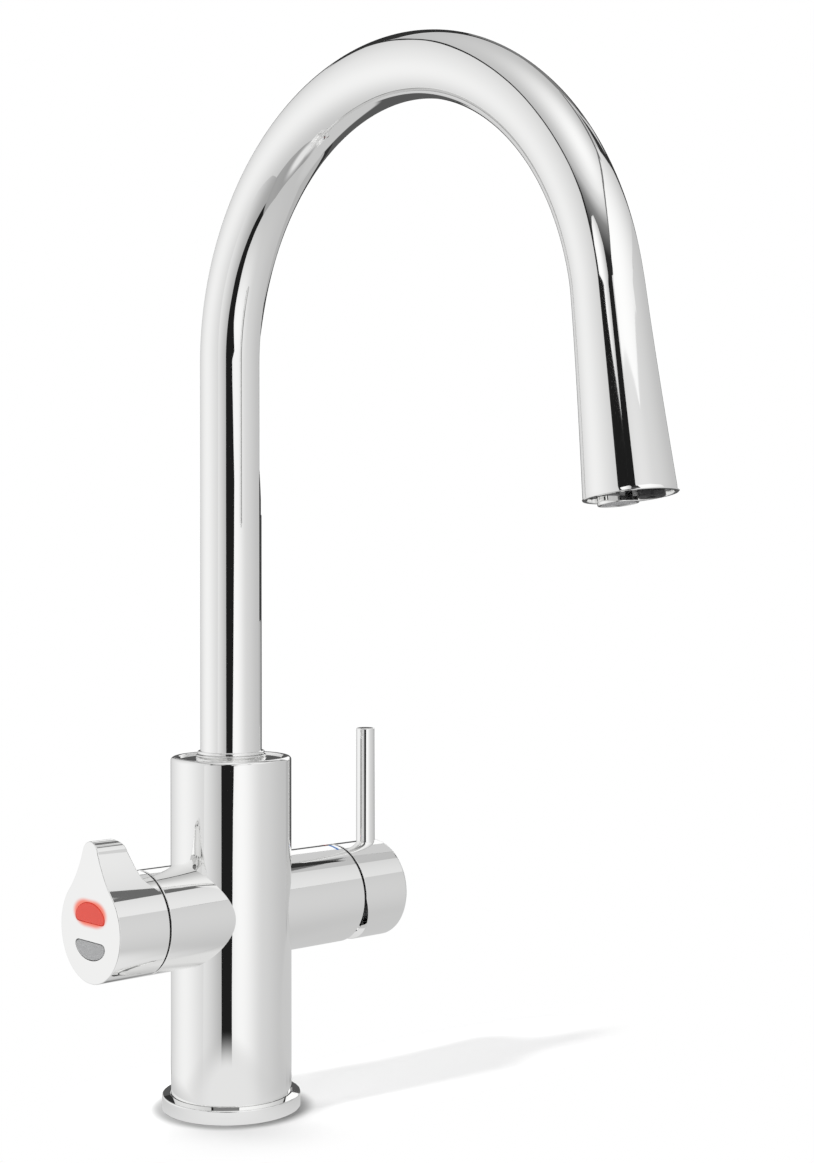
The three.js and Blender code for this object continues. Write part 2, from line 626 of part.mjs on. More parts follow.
function bodyShell() {
  const foot = RING_LEDGE + SEAT_GAP;
  const trunk = revolve([
    [0, foot],
    [BODY_RADIUS, foot],
    [BODY_RADIUS, BODY_TOP - RIM_ROUND],
    [BODY_RADIUS - RIM_ROUND * 0.3, BODY_TOP - RIM_ROUND * 0.3],
    [BODY_RADIUS - RIM_ROUND, BODY_TOP],
    [0, BODY_TOP],
  ], BODY_SIDES);
  const arms = rodAlongX(ARM_RADIUS, -BOIL_ARM_END, MIXER_ARM_END, 0, CROSS_HEIGHT, BODY_SIDES);
  const lipBottom = RECESS_FLOOR - COLLAR_LIP_THICKNESS;
  const rebateRadius = ARM_RADIUS - REBATE_WALL;
  const rebateStart = -BOIL_ARM_END + REBATE_DEPTH;
  return cut(join([trunk, arms]), [
    rod(BODY_BORE, 0, lipBottom, BODY_SIDES),
    rod(COLLAR_LIP_RADIUS, lipBottom - 1, BODY_TOP, BODY_SIDES),
    collarRecess(),
    rodAlongX(ARM_BORE, -BOIL_ARM_END - 1, MIXER_ARM_END + 1, 0, CROSS_HEIGHT, BODY_SIDES),
    rodAlongX(rebateRadius, -BOIL_ARM_END - 1, rebateStart, 0, CROSS_HEIGHT, BODY_SIDES),
    markGroove(90 + MARK_NEAR_ANGLE, 90 + MARK_FAR_ANGLE).translate(0, 0, CROSS_HEIGHT),
    markGroove(90 - MARK_FAR_ANGLE, 90 - MARK_NEAR_ANGLE).translate(0, 0, CROSS_HEIGHT),
  ]);
}

function temperatureMark(fromAngle, toAngle) {
  const shape = ringSector(ARM_RADIUS - MARK_DEPTH, ARM_RADIUS, fromAngle, toAngle);
  return alongX(prism(shape, MARK_START, MARK_START + MARK_WIDTH));
}

// Manifold with its drilled channels

function manifoldChannels() {
  const side = MANIFOLD_HALF_WIDTH + 1;
  const upright = (x, y, from, to) => rod(CHANNEL_RADIUS, from, to, SMALL_SIDES).translate(x, y, 0);
  const level = (from, to, y, z) => rodAlongX(CHANNEL_RADIUS, from, to, y, z);
  const high = CROSS_HEIGHT + CHANNEL_RISE;
  const low = CROSS_HEIGHT - CHANNEL_RISE;
  const entry = MANIFOLD_BOTTOM - 1;
  return [
    upright(-PORT_X, PORT_Y, entry, high),
    level(-PORT_X, side, PORT_Y, high),
    upright(PORT_X, PORT_Y, entry, low),
    level(PORT_X, side, PORT_Y, low),
    upright(-PORT_X, -PORT_Y, entry, low),
    level(-side, -PORT_X, -PORT_Y, low),
    level(-side, 0, 0, high),
    upright(0, 0, high, NECK_FLOOR),
    level(0, side, -MIXED_CHANNEL_OFFSET, CROSS_HEIGHT),
    upright(0, -MIXED_CHANNEL_OFFSET, CROSS_HEIGHT, NECK_FLOOR + 1),
  ];
}

function innerManifold() {
  const height = MANIFOLD_TOP - MANIFOLD_BOTTOM;
  const middle = (MANIFOLD_TOP + MANIFOLD_BOTTOM) / 2;
  const trunk = rod(FIT_RADIUS, MANIFOLD_BOTTOM, MANIFOLD_TOP);
  const flats = block(2 * MANIFOLD_HALF_WIDTH, 2 * BODY_RADIUS, height, 0, 0, middle);
  const neck = rod(NECK_RADIUS, MANIFOLD_TOP - 1, NECK_TOP);
  const sockets = ['hot', 'cold', 'boiling'].map((name) => {
    const [x, y] = portPlaces()[name];
    const socket = rod(RISER_RADIUS + SEAT_GAP, MANIFOLD_BOTTOM - 1, MANIFOLD_BOTTOM + RISER_SEAT, PORT_SIDES);
    return socket.translate(x, y, 0);
  });
  const screwHole = rod(STOP_SCREW_RADIUS + SEAT_GAP, 0, BODY_RADIUS, SMALL_SIDES).rotateX(-Math.PI / 2);
  return cut(join([common(trunk, flats), neck]), [
    rod(NECK_BORE, NECK_FLOOR, NECK_TOP + 1),
    rod(BOILING_RADIUS + SEAT_GAP, NECK_FLOOR - BOILING_SOCKET_DEPTH, NECK_FLOOR + 1, PORT_SIDES),
    screwHole.translate(0, 0, STOP_HEIGHT),
    ...sockets,
    ...manifoldChannels(),
  ]);
}

// Swivel

function swivelBush() {
  const bore = SPOUT_RADIUS + SEAT_GAP;
  const flangeBottom = NECK_TOP + SEAT_GAP;
  return revolve([
    [bore, BUSH_BOTTOM],
    [bore + SWIVEL_SECTION, BUSH_BOTTOM],
    [bore + SWIVEL_SECTION, flangeBottom],
    [BUSH_FLANGE_RADIUS, flangeBottom],
    [BUSH_FLANGE_RADIUS, flangeBottom + BUSH_FLANGE_THICKNESS],
    [bore, flangeBottom + BUSH_FLANGE_THICKNESS],
  ]);
}

function stopScrew() {
  const tip = SPOUT_RADIUS - STOP_SCREW_REACH;
  const length = BODY_BORE - SEAT_GAP - tip;
  const screw = rod(STOP_SCREW_RADIUS, 0, length, SMALL_SIDES);
  return screw.rotateX(-Math.PI / 2).translate(0, tip, STOP_HEIGHT);
}

function topCollar() {
  const bore = SPOUT_RADIUS + SEAT_GAP;
  const rim = COLLAR_RECESS_RADIUS - SEAT_GAP;
  const spigotBottom = RECESS_FLOOR - COLLAR_SPIGOT_DEPTH;
  return revolve([
    [bore, spigotBottom],
    [COLLAR_LIP_RADIUS - SEAT_GAP, spigotBottom],
    [COLLAR_LIP_RADIUS - SEAT_GAP, COLLAR_SEAT],
    [rim, COLLAR_SEAT],
    [rim, COLLAR_TOP - EDGE_BREAK],
    [rim - EDGE_BREAK, COLLAR_TOP],
    [COLLAR_NECK_RADIUS, COLLAR_TOP],
    [COLLAR_NECK_RADIUS, COLLAR_NECK_TOP - EDGE_BREAK],
    [COLLAR_NECK_RADIUS - EDGE_BREAK, COLLAR_NECK_TOP],
    [bore, COLLAR_NECK_TOP],
  ], BODY_SIDES);
}

function trimRing() {
  const bore = SPOUT_RADIUS + TRIM_GAP;
  const bottom = COLLAR_NECK_TOP + SEAT_GAP;
  const top = bottom + TRIM_RING_HEIGHT;
  return revolve([
    [bore, bottom],
    [bore + TRIM_RING_WIDTH, bottom],
    [bore + TRIM_RING_WIDTH, top - EDGE_BREAK],
    [bore + TRIM_RING_WIDTH - EDGE_BREAK, top],
    [bore, top],
  ], SPOUT_SIDES);
}

function spoutFoot() {
  const bottom = NECK_FLOOR + SEAT_GAP;
  const shoulder = SPOUT_START - SEAT_GAP;
  const spigot = SPOUT_RADIUS - SPOUT_WALL - SEAT_GAP;
  const groove = SPOUT_RADIUS - CLIP_GROOVE_DEPTH;
  const foot = revolve([
    [SPOUT_FOOT_BORE, bottom],
    [SPOUT_RADIUS, bottom],
    [SPOUT_RADIUS, CLIP_HEIGHT - SEAT_GAP],
    [groove, CLIP_HEIGHT - SEAT_GAP],
    [groove, shoulder],
    [spigot, shoulder],
    [spigot, shoulder + SPOUT_SPIGOT],
    [SPOUT_FOOT_BORE, shoulder + SPOUT_SPIGOT],
  ]);
  const sweep = SWIVEL_TRAVEL + SLOT_MARGIN;
  const slot = ringSector(SPOUT_RADIUS - STOP_SLOT_DEPTH, SPOUT_RADIUS + 1, 90 - sweep, 90 + sweep);
  const halfHeight = STOP_SCREW_RADIUS + SEAT_GAP;
  return cut(foot, [prism(slot, STOP_HEIGHT - halfHeight, STOP_HEIGHT + halfHeight, INNER_SIDES)]);
}

function spoutClip() {
  const bore = SPOUT_RADIUS - CLIP_GROOVE_DEPTH + SEAT_GAP;
  return pipe(bore, bore + CLIP_RADIAL_WIDTH, CLIP_HEIGHT, CLIP_HEIGHT + CLIP_THICKNESS);
}

// Spout: a straight rise, two bends and a straight tail that leans out, all in the plane x = 0.

const RISE_LENGTH = RISE_TOP - SPOUT_START;
const FIRST_BEND_LENGTH = FIRST_BEND_RADIUS * radians(FIRST_BEND_ANGLE);
const SECOND_BEND_LENGTH = SECOND_BEND_RADIUS * radians(SECOND_BEND_ANGLE);
const SPOUT_LENGTH = RISE_LENGTH + FIRST_BEND_LENGTH + SECOND_BEND_LENGTH + TAIL_LENGTH;
const OUTLET_HEADING = radians(FIRST_BEND_ANGLE + SECOND_BEND_ANGLE);

function straightOn(from, heading, length) {
  const step = new THREE.Vector3(0, -Math.sin(heading), Math.cos(heading)).multiplyScalar(length);
  return from.clone().add(step);
}

function roundBend(from, heading, radius, turn) {
  const forward = radius * (Math.cos(heading) - Math.cos(heading + turn));
  const upward = radius * (Math.sin(heading + turn) - Math.sin(heading));
  return from.clone().add(new THREE.Vector3(0, -forward, upward));
}

// The centre and the heading (angle from straight up, leaning to -Y) at a distance along the spout.
function alongSpout(distance) {
  const firstTurn = radians(FIRST_BEND_ANGLE);
  const riseEnd = new THREE.Vector3(0, 0, RISE_TOP);
  const firstEnd = roundBend(riseEnd, 0, FIRST_BEND_RADIUS, firstTurn);
  const secondEnd = roundBend(firstEnd, firstTurn, SECOND_BEND_RADIUS, radians(SECOND_BEND_ANGLE));
  const pastRise = distance - RISE_LENGTH;
  if (pastRise <= 0) return { centre: new THREE.Vector3(0, 0, SPOUT_START + distance), heading: 0 };
  const pastFirst = pastRise - FIRST_BEND_LENGTH;
  if (pastFirst <= 0) {
    const turn = pastRise / FIRST_BEND_RADIUS;
    return { centre: roundBend(riseEnd, 0, FIRST_BEND_RADIUS, turn), heading: turn };
  }
  const pastSecond = pastFirst - SECOND_BEND_LENGTH;
  if (pastSecond <= 0) {
    const turn = pastFirst / SECOND_BEND_RADIUS;
    return { centre: roundBend(firstEnd, firstTurn, SECOND_BEND_RADIUS, turn), heading: firstTurn + turn };
  }
  return { centre: straightOn(secondEnd, OUTLET_HEADING, pastSecond), heading: OUTLET_HEADING };
}

function spoutRadius(distance) {
  const share = THREE.MathUtils.clamp((distance - SPOUT_LENGTH + FLARE_LENGTH) / FLARE_LENGTH, 0, 1);
  return SPOUT_RADIUS + (OUTLET_RADIUS - SPOUT_RADIUS) * share ** FLARE_POWER;
}

function spoutStations() {
  const stations = [0];
  const addBend = (start, radius, angle) => {
    for (let turn = 0; turn < angle; turn += BEND_STEP) stations.push(start + radius * radians(turn));
  };
  addBend(RISE_LENGTH, FIRST_BEND_RADIUS, FIRST_BEND_ANGLE);
  addBend(RISE_LENGTH + FIRST_BEND_LENGTH, SECOND_BEND_RADIUS, SECOND_BEND_ANGLE);
  const flareStart = SPOUT_LENGTH - FLARE_LENGTH;
  const beforeFlare = stations.filter((distance) => distance < flareStart - 1);
  const flare = [];
  for (let i = 0; i <= FLARE_STEPS; i += 1) flare.push(flareStart + (FLARE_LENGTH * i) / FLARE_STEPS);
  return [...beforeFlare, ...flare];
}

// The flared tube is a loft: one outer and one inner ring of points at each station.
function spoutTube() {
  const stations = spoutStations();
  const positions = [];
  const sideways = new THREE.Vector3(1, 0, 0);
  const addRing = (distance, radius) => {
    const { centre, heading } = alongSpout(distance);
    const outward = new THREE.Vector3(0, Math.cos(heading), Math.sin(heading));
    for (let i = 0; i < SPOUT_SIDES; i += 1) {
      const angle = (2 * Math.PI * i) / SPOUT_SIDES;
      const point = centre.clone();
      point.addScaledVector(sideways, radius * Math.sin(angle));
      point.addScaledVector(outward, radius * Math.cos(angle));
      positions.push(point.x, point.y, point.z);
    }
  };
  stations.forEach((distance) => addRing(distance, spoutRadius(distance)));
  [...stations].reverse().forEach((distance) => addRing(distance, spoutRadius(distance) - SPOUT_WALL));
  const rings = 2 * stations.length;
  const indices = [];
  for (let ring = 0; ring < rings; ring += 1) {
    const next = (ring + 1) % rings;
    for (let i = 0; i < SPOUT_SIDES; i += 1) {
      const j = (i + 1) % SPOUT_SIDES;
      const [a, b] = [ring * SPOUT_SIDES + i, ring * SPOUT_SIDES + j];
      const [c, d] = [next * SPOUT_SIDES + i, next * SPOUT_SIDES + j];
      indices.push(a, b, d, a, d, c);
    }
  }
  const geometry = new THREE.BufferGeometry();
  geometry.setAttribute('position', new THREE.Float32BufferAttribute(positions, 3));
  geometry.setIndex(indices);
  return closed(geometry);
}

// The boiling tube's centre line: on the spout's own, then eased over to the nozzle near the outlet.
class BoilingLine extends THREE.Curve {
  getPoint(t) {
    const start = NECK_FLOOR - BOILING_SOCKET_DEPTH + SEAT_GAP;
    const lead = SPOUT_START - start;
    const end = SPOUT_LENGTH - NOZZLE_LENGTH + OUTLET_PROUD + NOZZLE_SOCKET_DEPTH - SEAT_GAP;
    const distance = t * (end + lead) - lead;
    if (distance <= 0) return new THREE.Vector3(0, 0, SPOUT_START + distance);
    const { centre, heading } = alongSpout(distance);
    const shiftSpan = BOILING_SHIFT_START - BOILING_SHIFT_END;
    const share = (distance - SPOUT_LENGTH + BOILING_SHIFT_START) / shiftSpan;
    const shift = NOZZLE_OFFSET * THREE.MathUtils.smoothstep(share, 0, 1);
    return centre.addScaledVector(new THREE.Vector3(0, Math.cos(heading), Math.sin(heading)), shift);
  }
}

function boilingTube() {
  const section = new THREE.Shape().absarc(0, 0, BOILING_RADIUS, 0, 2 * Math.PI, false);
  section.holes.push(new THREE.Path().absarc(0, 0, BOILING_BORE, 0, 2 * Math.PI, true));
  const options = { steps: BOILING_STEPS, extrudePath: new BoilingLine(), curveSegments: 3, bevelEnabled: false };
  return closed(new THREE.ExtrudeGeometry(section, options));
}

// Outlet, with z = 0 at the spout's end and +Z pointing out of it

function outletInsert() {
  const front = -INSERT_RECESS;
  const back = front - INSERT_THICKNESS;
  const insideAt = (z) => spoutRadius(SPOUT_LENGTH + z) - SPOUT_WALL - SEAT_GAP - TRIM_GAP;
  const plate = revolve([[0, back], [insideAt(back), back], [insideAt(front), front], [0, front]], SPOUT_SIDES);
  const aeratorSeat = OUTLET_PROUD - AERATOR_LENGTH - AERATOR_SEAL_THICKNESS - 2 * SEAT_GAP;
  const aeratorHole = rod(AERATOR_RADIUS + SEAT_GAP, aeratorSeat, 1).translate(0, AERATOR_OFFSET, 0);
  const throat = rod(AERATOR_THROAT, back - 1, 0).translate(0, AERATOR_OFFSET, 0);
  const nozzleHole = rod(NOZZLE_RADIUS + SEAT_GAP, back - 1, 1).translate(0, NOZZLE_OFFSET, 0);
  return cut(plate, [aeratorHole, throat, nozzleHole]);
}

function aeratorHousing() {
  const back = OUTLET_PROUD - AERATOR_LENGTH;
  const bore = AERATOR_RADIUS - AERATOR_WALL;
  return revolve([
    [AERATOR_THROAT, back],
    [AERATOR_RADIUS, back],
    [AERATOR_RADIUS, OUTLET_PROUD - EDGE_BREAK],
    [AERATOR_RADIUS - EDGE_BREAK, OUTLET_PROUD],
    [bore, OUTLET_PROUD],
    [bore, back + AERATOR_LEDGE],
    [AERATOR_THROAT, back + AERATOR_LEDGE],
  ]);
}

function aeratorMesh() {
  const radius = AERATOR_RADIUS - AERATOR_WALL - SEAT_GAP;
  const top = OUTLET_PROUD - MESH_RECESS;
  const disc = rod(radius, top - MESH_THICKNESS, top, PORT_SIDES);
  const holes = [];
  const reach = Math.floor(radius / MESH_PITCH);
  for (let i = -reach; i <= reach; i += 1) {
    for (let j = -reach; j <= reach; j += 1) {
      const inside = Math.hypot(i, j) * MESH_PITCH + MESH_HOLE < radius;
      if (inside) holes.push(block(MESH_HOLE, MESH_HOLE, 2, i * MESH_PITCH, j * MESH_PITCH, top));
    }
  }
  return cut(disc, holes);
}

function flowRestrictor() {
  const bottom = OUTLET_PROUD - AERATOR_LENGTH + AERATOR_LEDGE + SEAT_GAP;
  const top = bottom + RESTRICTOR_THICKNESS;
  const radius = AERATOR_RADIUS - AERATOR_WALL - SEAT_GAP;
  const holes = [];
  for (let i = 0; i < RESTRICTOR_HOLES; i += 1) {
    const angle = (2 * Math.PI * i) / RESTRICTOR_HOLES;
    const hole = rod(RESTRICTOR_HOLE_RADIUS, bottom - 1, top + 1, 8);
    const circle = RESTRICTOR_HOLE_CIRCLE;
    holes.push(hole.translate(circle * Math.cos(angle), circle * Math.sin(angle), 0));
  }
  return cut(rod(radius, bottom, top, PORT_SIDES), holes);
}

function aeratorSeal() {
  const top = OUTLET_PROUD - AERATOR_LENGTH - SEAT_GAP;
  const bore = AERATOR_THROAT + SEAT_GAP;
  return pipe(bore, AERATOR_RADIUS, top - AERATOR_SEAL_THICKNESS, top, PORT_SIDES);
}

function boilingNozzle() {
  const back = OUTLET_PROUD - NOZZLE_LENGTH;
  const lip = -INSERT_RECESS + SEAT_GAP;
  const socket = BOILING_RADIUS + SEAT_GAP;
  return revolve([
    [NOZZLE_BORE, back + NOZZLE_SOCKET_DEPTH],
    [socket, back + NOZZLE_SOCKET_DEPTH],
    [socket, back],
    [NOZZLE_RADIUS, back],
    [NOZZLE_RADIUS, lip],
    [NOZZLE_LIP_RADIUS, lip],
    [NOZZLE_LIP_RADIUS, OUTLET_PROUD - EDGE_BREAK],
    [NOZZLE_LIP_RADIUS - EDGE_BREAK, OUTLET_PROUD],
    [NOZZLE_BORE, OUTLET_PROUD],
  ], PORT_SIDES);
}

// Boiling valve, turned by the lever. All distances run along -X from the body's axis.

function valvePorts() {
  return [[-PORT_Y, -CHANNEL_RISE], [0, CHANNEL_RISE]];
}

// A radial hole from the cross axis towards (y, z).
function radialHole(distance, y, z, turn = 0) {
  const hole = rod(VALVE_PASSAGE_RADIUS, 0, Math.hypot(y, z), SMALL_SIDES);
  const angle = Math.atan2(-y, z) + turn;
  return hole.rotateX(angle).translate(-distance, 0, 0);
}

function boilValveBody() {
  const barrelStart = SIDE_SEAT + VALVE_FLANGE_THICKNESS;
  const end = VALVE_END;
  const bore = SPINDLE_RADIUS + SEAT_GAP;
  const floor = SPINDLE_START - SEAT_GAP;
  const body = alongX(revolve([
    [0, -SIDE_SEAT],
    [ARM_FIT_RADIUS, -SIDE_SEAT],
    [ARM_FIT_RADIUS, -barrelStart],
    [VALVE_RADIUS, -barrelStart],
    [VALVE_RADIUS, -end],
    [bore, -end],
    [bore, -floor],
    [0, -floor],
  ]));
  const ports = valvePorts().map(([y, z]) => rodAlongX(CHANNEL_RADIUS, -VALVE_PASSAGE, -SIDE_SEAT + 1, y, z));
  const passages = valvePorts().map(([y, z]) => radialHole(VALVE_PASSAGE, y, z));
  return cut(body, [...ports, ...passages]);
}

function boilValveSpindle() {
  const round = alongX(rod(SPINDLE_RADIUS, -SPINDLE_SQUARE_START, -SPINDLE_START));
  const length = SPINDLE_END - SPINDLE_SQUARE_START;
  const middle = -(SPINDLE_END + SPINDLE_SQUARE_START) / 2;
  const square = block(length + 1, SPINDLE_SQUARE, SPINDLE_SQUARE, middle + 0.5, 0, 0);
  const thread = rodAlongX(SCREW_RADIUS + SEAT_GAP, -SPINDLE_END - 1, -SPINDLE_END + SCREW_REACH + 1);
  const passages = valvePorts().map(([y, z]) => radialHole(VALVE_PASSAGE, y, z, radians(LEVER_TRAVEL)));
  return cut(join([round, square]), [thread, ...passages]);
}

class SpringLine extends THREE.Curve {
  getPoint(t) {
    const angle = 2 * Math.PI * SPRING_TURNS * t;
    const start = VALVE_END + SPRING_WIRE + SEAT_GAP;
    const end = BEARING_START - SPRING_WIRE - SEAT_GAP - SPRING_SPARE;
    const distance = start + (end - start) * t;
    return new THREE.Vector3(-distance, SPRING_RADIUS * Math.cos(angle), SPRING_RADIUS * Math.sin(angle));
  }
}

function returnSpring() {
  const wire = new THREE.Shape().absarc(0, 0, SPRING_WIRE, 0, 2 * Math.PI, false);
  const steps = 14 * SPRING_TURNS;
  const options = { steps, extrudePath: new SpringLine(), curveSegments: 2, bevelEnabled: false };
  return closed(new THREE.ExtrudeGeometry(wire, options));
}

function leverBearing() {
  const bore = HUB_SHAFT_RADIUS + SEAT_GAP;
  return alongX(pipe(bore, ARM_FIT_RADIUS, -BEARING_START - BEARING_LENGTH, -BEARING_START));
}

function leverGasket() {
  const outer = ARM_RADIUS - REBATE_WALL - SEAT_GAP;
  const start = BOIL_ARM_END - REBATE_DEPTH + SEAT_GAP;
  return alongX(pipe(outer - GASKET_WIDTH, outer, -start - GASKET_THICKNESS, -start));
}

// Boil lever

// A drop: a large circle and a small one above it, joined by two hollow flanks that touch both.
function dropOutline() {
  const low = ARM_RADIUS + LEVER_BLEND_RADIUS;
  const high = LEVER_TIP_RADIUS + LEVER_BLEND_RADIUS;
  const blendUp = (low ** 2 - high ** 2 + LEVER_TIP_RISE ** 2) / (2 * LEVER_TIP_RISE);
  const blendOut = Math.sqrt(low ** 2 - blendUp ** 2);
  const lowAngle = Math.atan2(blendUp, blendOut);
  const highAngle = Math.atan2(blendUp - LEVER_TIP_RISE, blendOut);
  const shape = new THREE.Shape();
  shape.absarc(0, 0, ARM_RADIUS, Math.PI - lowAngle, lowAngle, false);
  shape.absarc(blendOut, blendUp, LEVER_BLEND_RADIUS, Math.PI + lowAngle, Math.PI + highAngle, true);
  shape.absarc(0, LEVER_TIP_RISE, LEVER_TIP_RADIUS, highAngle, Math.PI - highAngle, false);
  shape.absarc(-blendOut, blendUp, LEVER_BLEND_RADIUS, -highAngle, -lowAngle, true);
  return shape;
}

// The lever seen from its side: the finger is short at the top and its back slopes down to the seam.
function leverSideProfile() {
  const top = LEVER_TIP_RISE + LEVER_TIP_RADIUS + 1;
  const shape = new THREE.Shape();
  shape.moveTo(-LEVER_FACE - 1, -ARM_RADIUS - 1);
  shape.lineTo(-LEVER_START, -ARM_RADIUS - 1);
  shape.lineTo(-LEVER_START, ARM_RADIUS);
  const shoulder = -LEVER_FACE + FINGER_TOP_LENGTH;
  const tipTop = LEVER_TIP_RISE + LEVER_TIP_RADIUS;
  shape.lineTo(shoulder + FINGER_BACK_ROUND, tipTop - FINGER_BACK_ROUND);
  shape.quadraticCurveTo(shoulder + FINGER_BACK_ROUND / 2, tipTop, shoulder, top);
  shape.lineTo(-LEVER_FACE - 1, top);
  return shape;
}

// One button: straight inside edge, rounded corners and an arched outside edge. side is 1 above, -1 below.
function buttonOutline(side, grow) {
  const half = BUTTON_HALF_WIDTH + grow;
  const flat = BUTTON_FLAT - grow;
  const corner = BUTTON_SHOULDER - BUTTON_FLAT;
  const crown = BUTTON_CROWN + grow - BUTTON_SHOULDER;
  const shape = new THREE.Shape();
  shape.moveTo(-half + corner, side * flat);
  shape.lineTo(half - corner, side * flat);
  shape.quadraticCurveTo(half, side * flat, half, side * BUTTON_SHOULDER);
  shape.absellipse(0, side * BUTTON_SHOULDER, half, crown, 0, side * Math.PI, side < 0);
  shape.quadraticCurveTo(-half, side * flat, -half + corner, side * flat);
  return shape;
}

function boilLever() {
  const length = LEVER_FACE - LEVER_START;
  const block3d = new THREE.ExtrudeGeometry(dropOutline(), {
    depth: length - 2 * LEVER_EDGE,
    bevelThickness: LEVER_EDGE,
    bevelSize: LEVER_EDGE,
    bevelOffset: -LEVER_EDGE,
    bevelSegments: 1,
    curveSegments: OUTLINE_SEGMENTS,
  });
  const drop = alongX(closed(block3d.translate(0, 0, -LEVER_FACE + LEVER_EDGE)));
  const depth = 2 * ARM_RADIUS + 2;
  const side = prism(leverSideProfile(), -depth / 2, depth / 2, 6).rotateX(Math.PI / 2);
  return cut(common(drop, side), [
    alongX(rod(LEVER_CAVITY_RADIUS, -LEVER_WALL_INSIDE, -LEVER_START + 1, BODY_SIDES)),
    alongX(prism(buttonOutline(1, SEAT_GAP), -LEVER_FACE - 1, -LEVER_WALL_INSIDE + 1)),
    alongX(prism(buttonOutline(-1, SEAT_GAP), -LEVER_FACE - 1, -LEVER_WALL_INSIDE + 1)),
  ]);
}

function leverHub() {
  const disc = LEVER_CAVITY_RADIUS - SEAT_GAP;
  const discEnd = HUB_DISC_START + HUB_DISC_THICKNESS;
  const rimEnd = discEnd + HUB_RIM_HEIGHT;
  const bore = SCREW_RADIUS + SEAT_GAP;
  const hub = alongX(revolve([
    [bore, -HUB_START],
    [HUB_SHAFT_RADIUS, -HUB_START],
    [HUB_SHAFT_RADIUS, -HUB_DISC_START],
    [disc, -HUB_DISC_START],
    [disc, -rimEnd],
    [disc - HUB_RIM_WIDTH, -rimEnd],
    [disc - HUB_RIM_WIDTH, -discEnd],
    [bore, -discEnd],
  ]));
  const square = SPINDLE_SQUARE + 2 * SEAT_GAP;
  const depth = SPINDLE_END + SEAT_GAP - HUB_START + 1;
  const middle = -(SPINDLE_END + SEAT_GAP) + depth / 2;
  return cut(hub, [block(depth, square, square, middle, 0, 0)]);
}

function leverScrew() {
  const seat = HUB_DISC_START + HUB_DISC_THICKNESS + SEAT_GAP;
  const end = seat + SCREW_HEAD_THICKNESS;
  return alongX(revolve([
    [0, -SPINDLE_END + SCREW_REACH],
    [SCREW_RADIUS, -SPINDLE_END + SCREW_REACH],
    [SCREW_RADIUS, -seat],
    [SCREW_HEAD_RADIUS, -seat],
    [SCREW_HEAD_RADIUS, -end],
    [SCREW_SOCKET_RADIUS, -end],
    [SCREW_SOCKET_RADIUS, -end + SCREW_SOCKET_DEPTH],
    [0, -end + SCREW_SOCKET_DEPTH],
  ], SMALL_SIDES));
}

function buttonBoard() {
  const radius = LEVER_CAVITY_RADIUS - SEAT_GAP - HUB_RIM_WIDTH / 4;
  return alongX(rod(radius, -BOARD_SEAT - BOARD_THICKNESS, -BOARD_SEAT));
}

function siliconeDome(side) {
  const profile = [[0, -DOME_BASE], [DOME_BASE_RADIUS, -DOME_BASE], [DOME_TOP_RADIUS, -DOME_TIP], [0, -DOME_TIP]];
  const dome = revolve(profile, SMALL_SIDES);
  return alongX(dome).translate(0, 0, side * BUTTON_CENTRE);
}

function buttonLamp() {
  const middle = -DOME_BASE - LAMP_THICKNESS / 2;
  return block(LAMP_THICKNESS, LAMP_SIZE, LAMP_SIZE, middle, LAMP_OFFSET, BUTTON_CENTRE);
}

function pushButton(side) {
  const flangeFront = LEVER_WALL_INSIDE - SEAT_GAP;
  const flangeBack = flangeFront - BUTTON_FLANGE_THICKNESS;
  const face = prism(buttonOutline(side, 0), -LEVER_FACE - BUTTON_PROUD, -flangeFront + 0.5);
  const flange = prism(buttonOutline(side, BUTTON_FLANGE), -flangeFront, -flangeBack);
  const stem = rod(BUTTON_STEM_RADIUS, -flangeBack - 0.5, -BUTTON_BACK).translate(0, side * BUTTON_CENTRE, 0);
  return alongX(join([face, flange, stem]));
}

// Mixer cartridge. All distances run along +X from the body's axis.

function cartridgePorts() {
  return [[PORT_Y, CHANNEL_RISE], [PORT_Y, -CHANNEL_RISE], [-MIXED_CHANNEL_OFFSET, 0]];
}

function portHoles(from, to) {
  return cartridgePorts().map(([y, z]) => rodAlongX(PORT_RADIUS, from, to, y, z));
}

function cartridgeHousing() {
  const flangeEnd = SIDE_SEAT + CARTRIDGE_FLANGE_THICKNESS;
  const housing = alongX(revolve([
    [0, SIDE_SEAT],
    [ARM_FIT_RADIUS, SIDE_SEAT],
    [ARM_FIT_RADIUS, flangeEnd],
    [CARTRIDGE_RADIUS, flangeEnd],
    [CARTRIDGE_RADIUS, CARTRIDGE_END],
    [CARTRIDGE_CAVITY_RADIUS, CARTRIDGE_END],
    [CARTRIDGE_CAVITY_RADIUS, CARTRIDGE_FLOOR],
    [0, CARTRIDGE_FLOOR],
  ]));
  return cut(housing, portHoles(SIDE_SEAT - 1, CARTRIDGE_FLOOR + 1));
}

function fixedDisc() {
  const end = FIXED_DISC_START + DISC_THICKNESS;
  const disc = alongX(rod(CARTRIDGE_CAVITY_RADIUS - SEAT_GAP, FIXED_DISC_START, end));
  return cut(disc, portHoles(FIXED_DISC_START - 1, end + 1));
}

function movingDisc() {
  const disc = alongX(rod(MOVING_DISC_RADIUS, MOVING_DISC_START, MOVING_DISC_START + DISC_THICKNESS));
  const pocket = rodAlongX(POCKET_RADIUS, MOVING_DISC_START - 1, MOVING_DISC_START + POCKET_DEPTH, 0, 0, INNER_SIDES);
  return cut(disc, [pocket]);
}

function discCarrier() {
  return alongX(pipe(CARRIER_SOCKET_RADIUS, MOVING_DISC_RADIUS, CARRIER_START, CARRIER_START + CARRIER_THICKNESS));
}

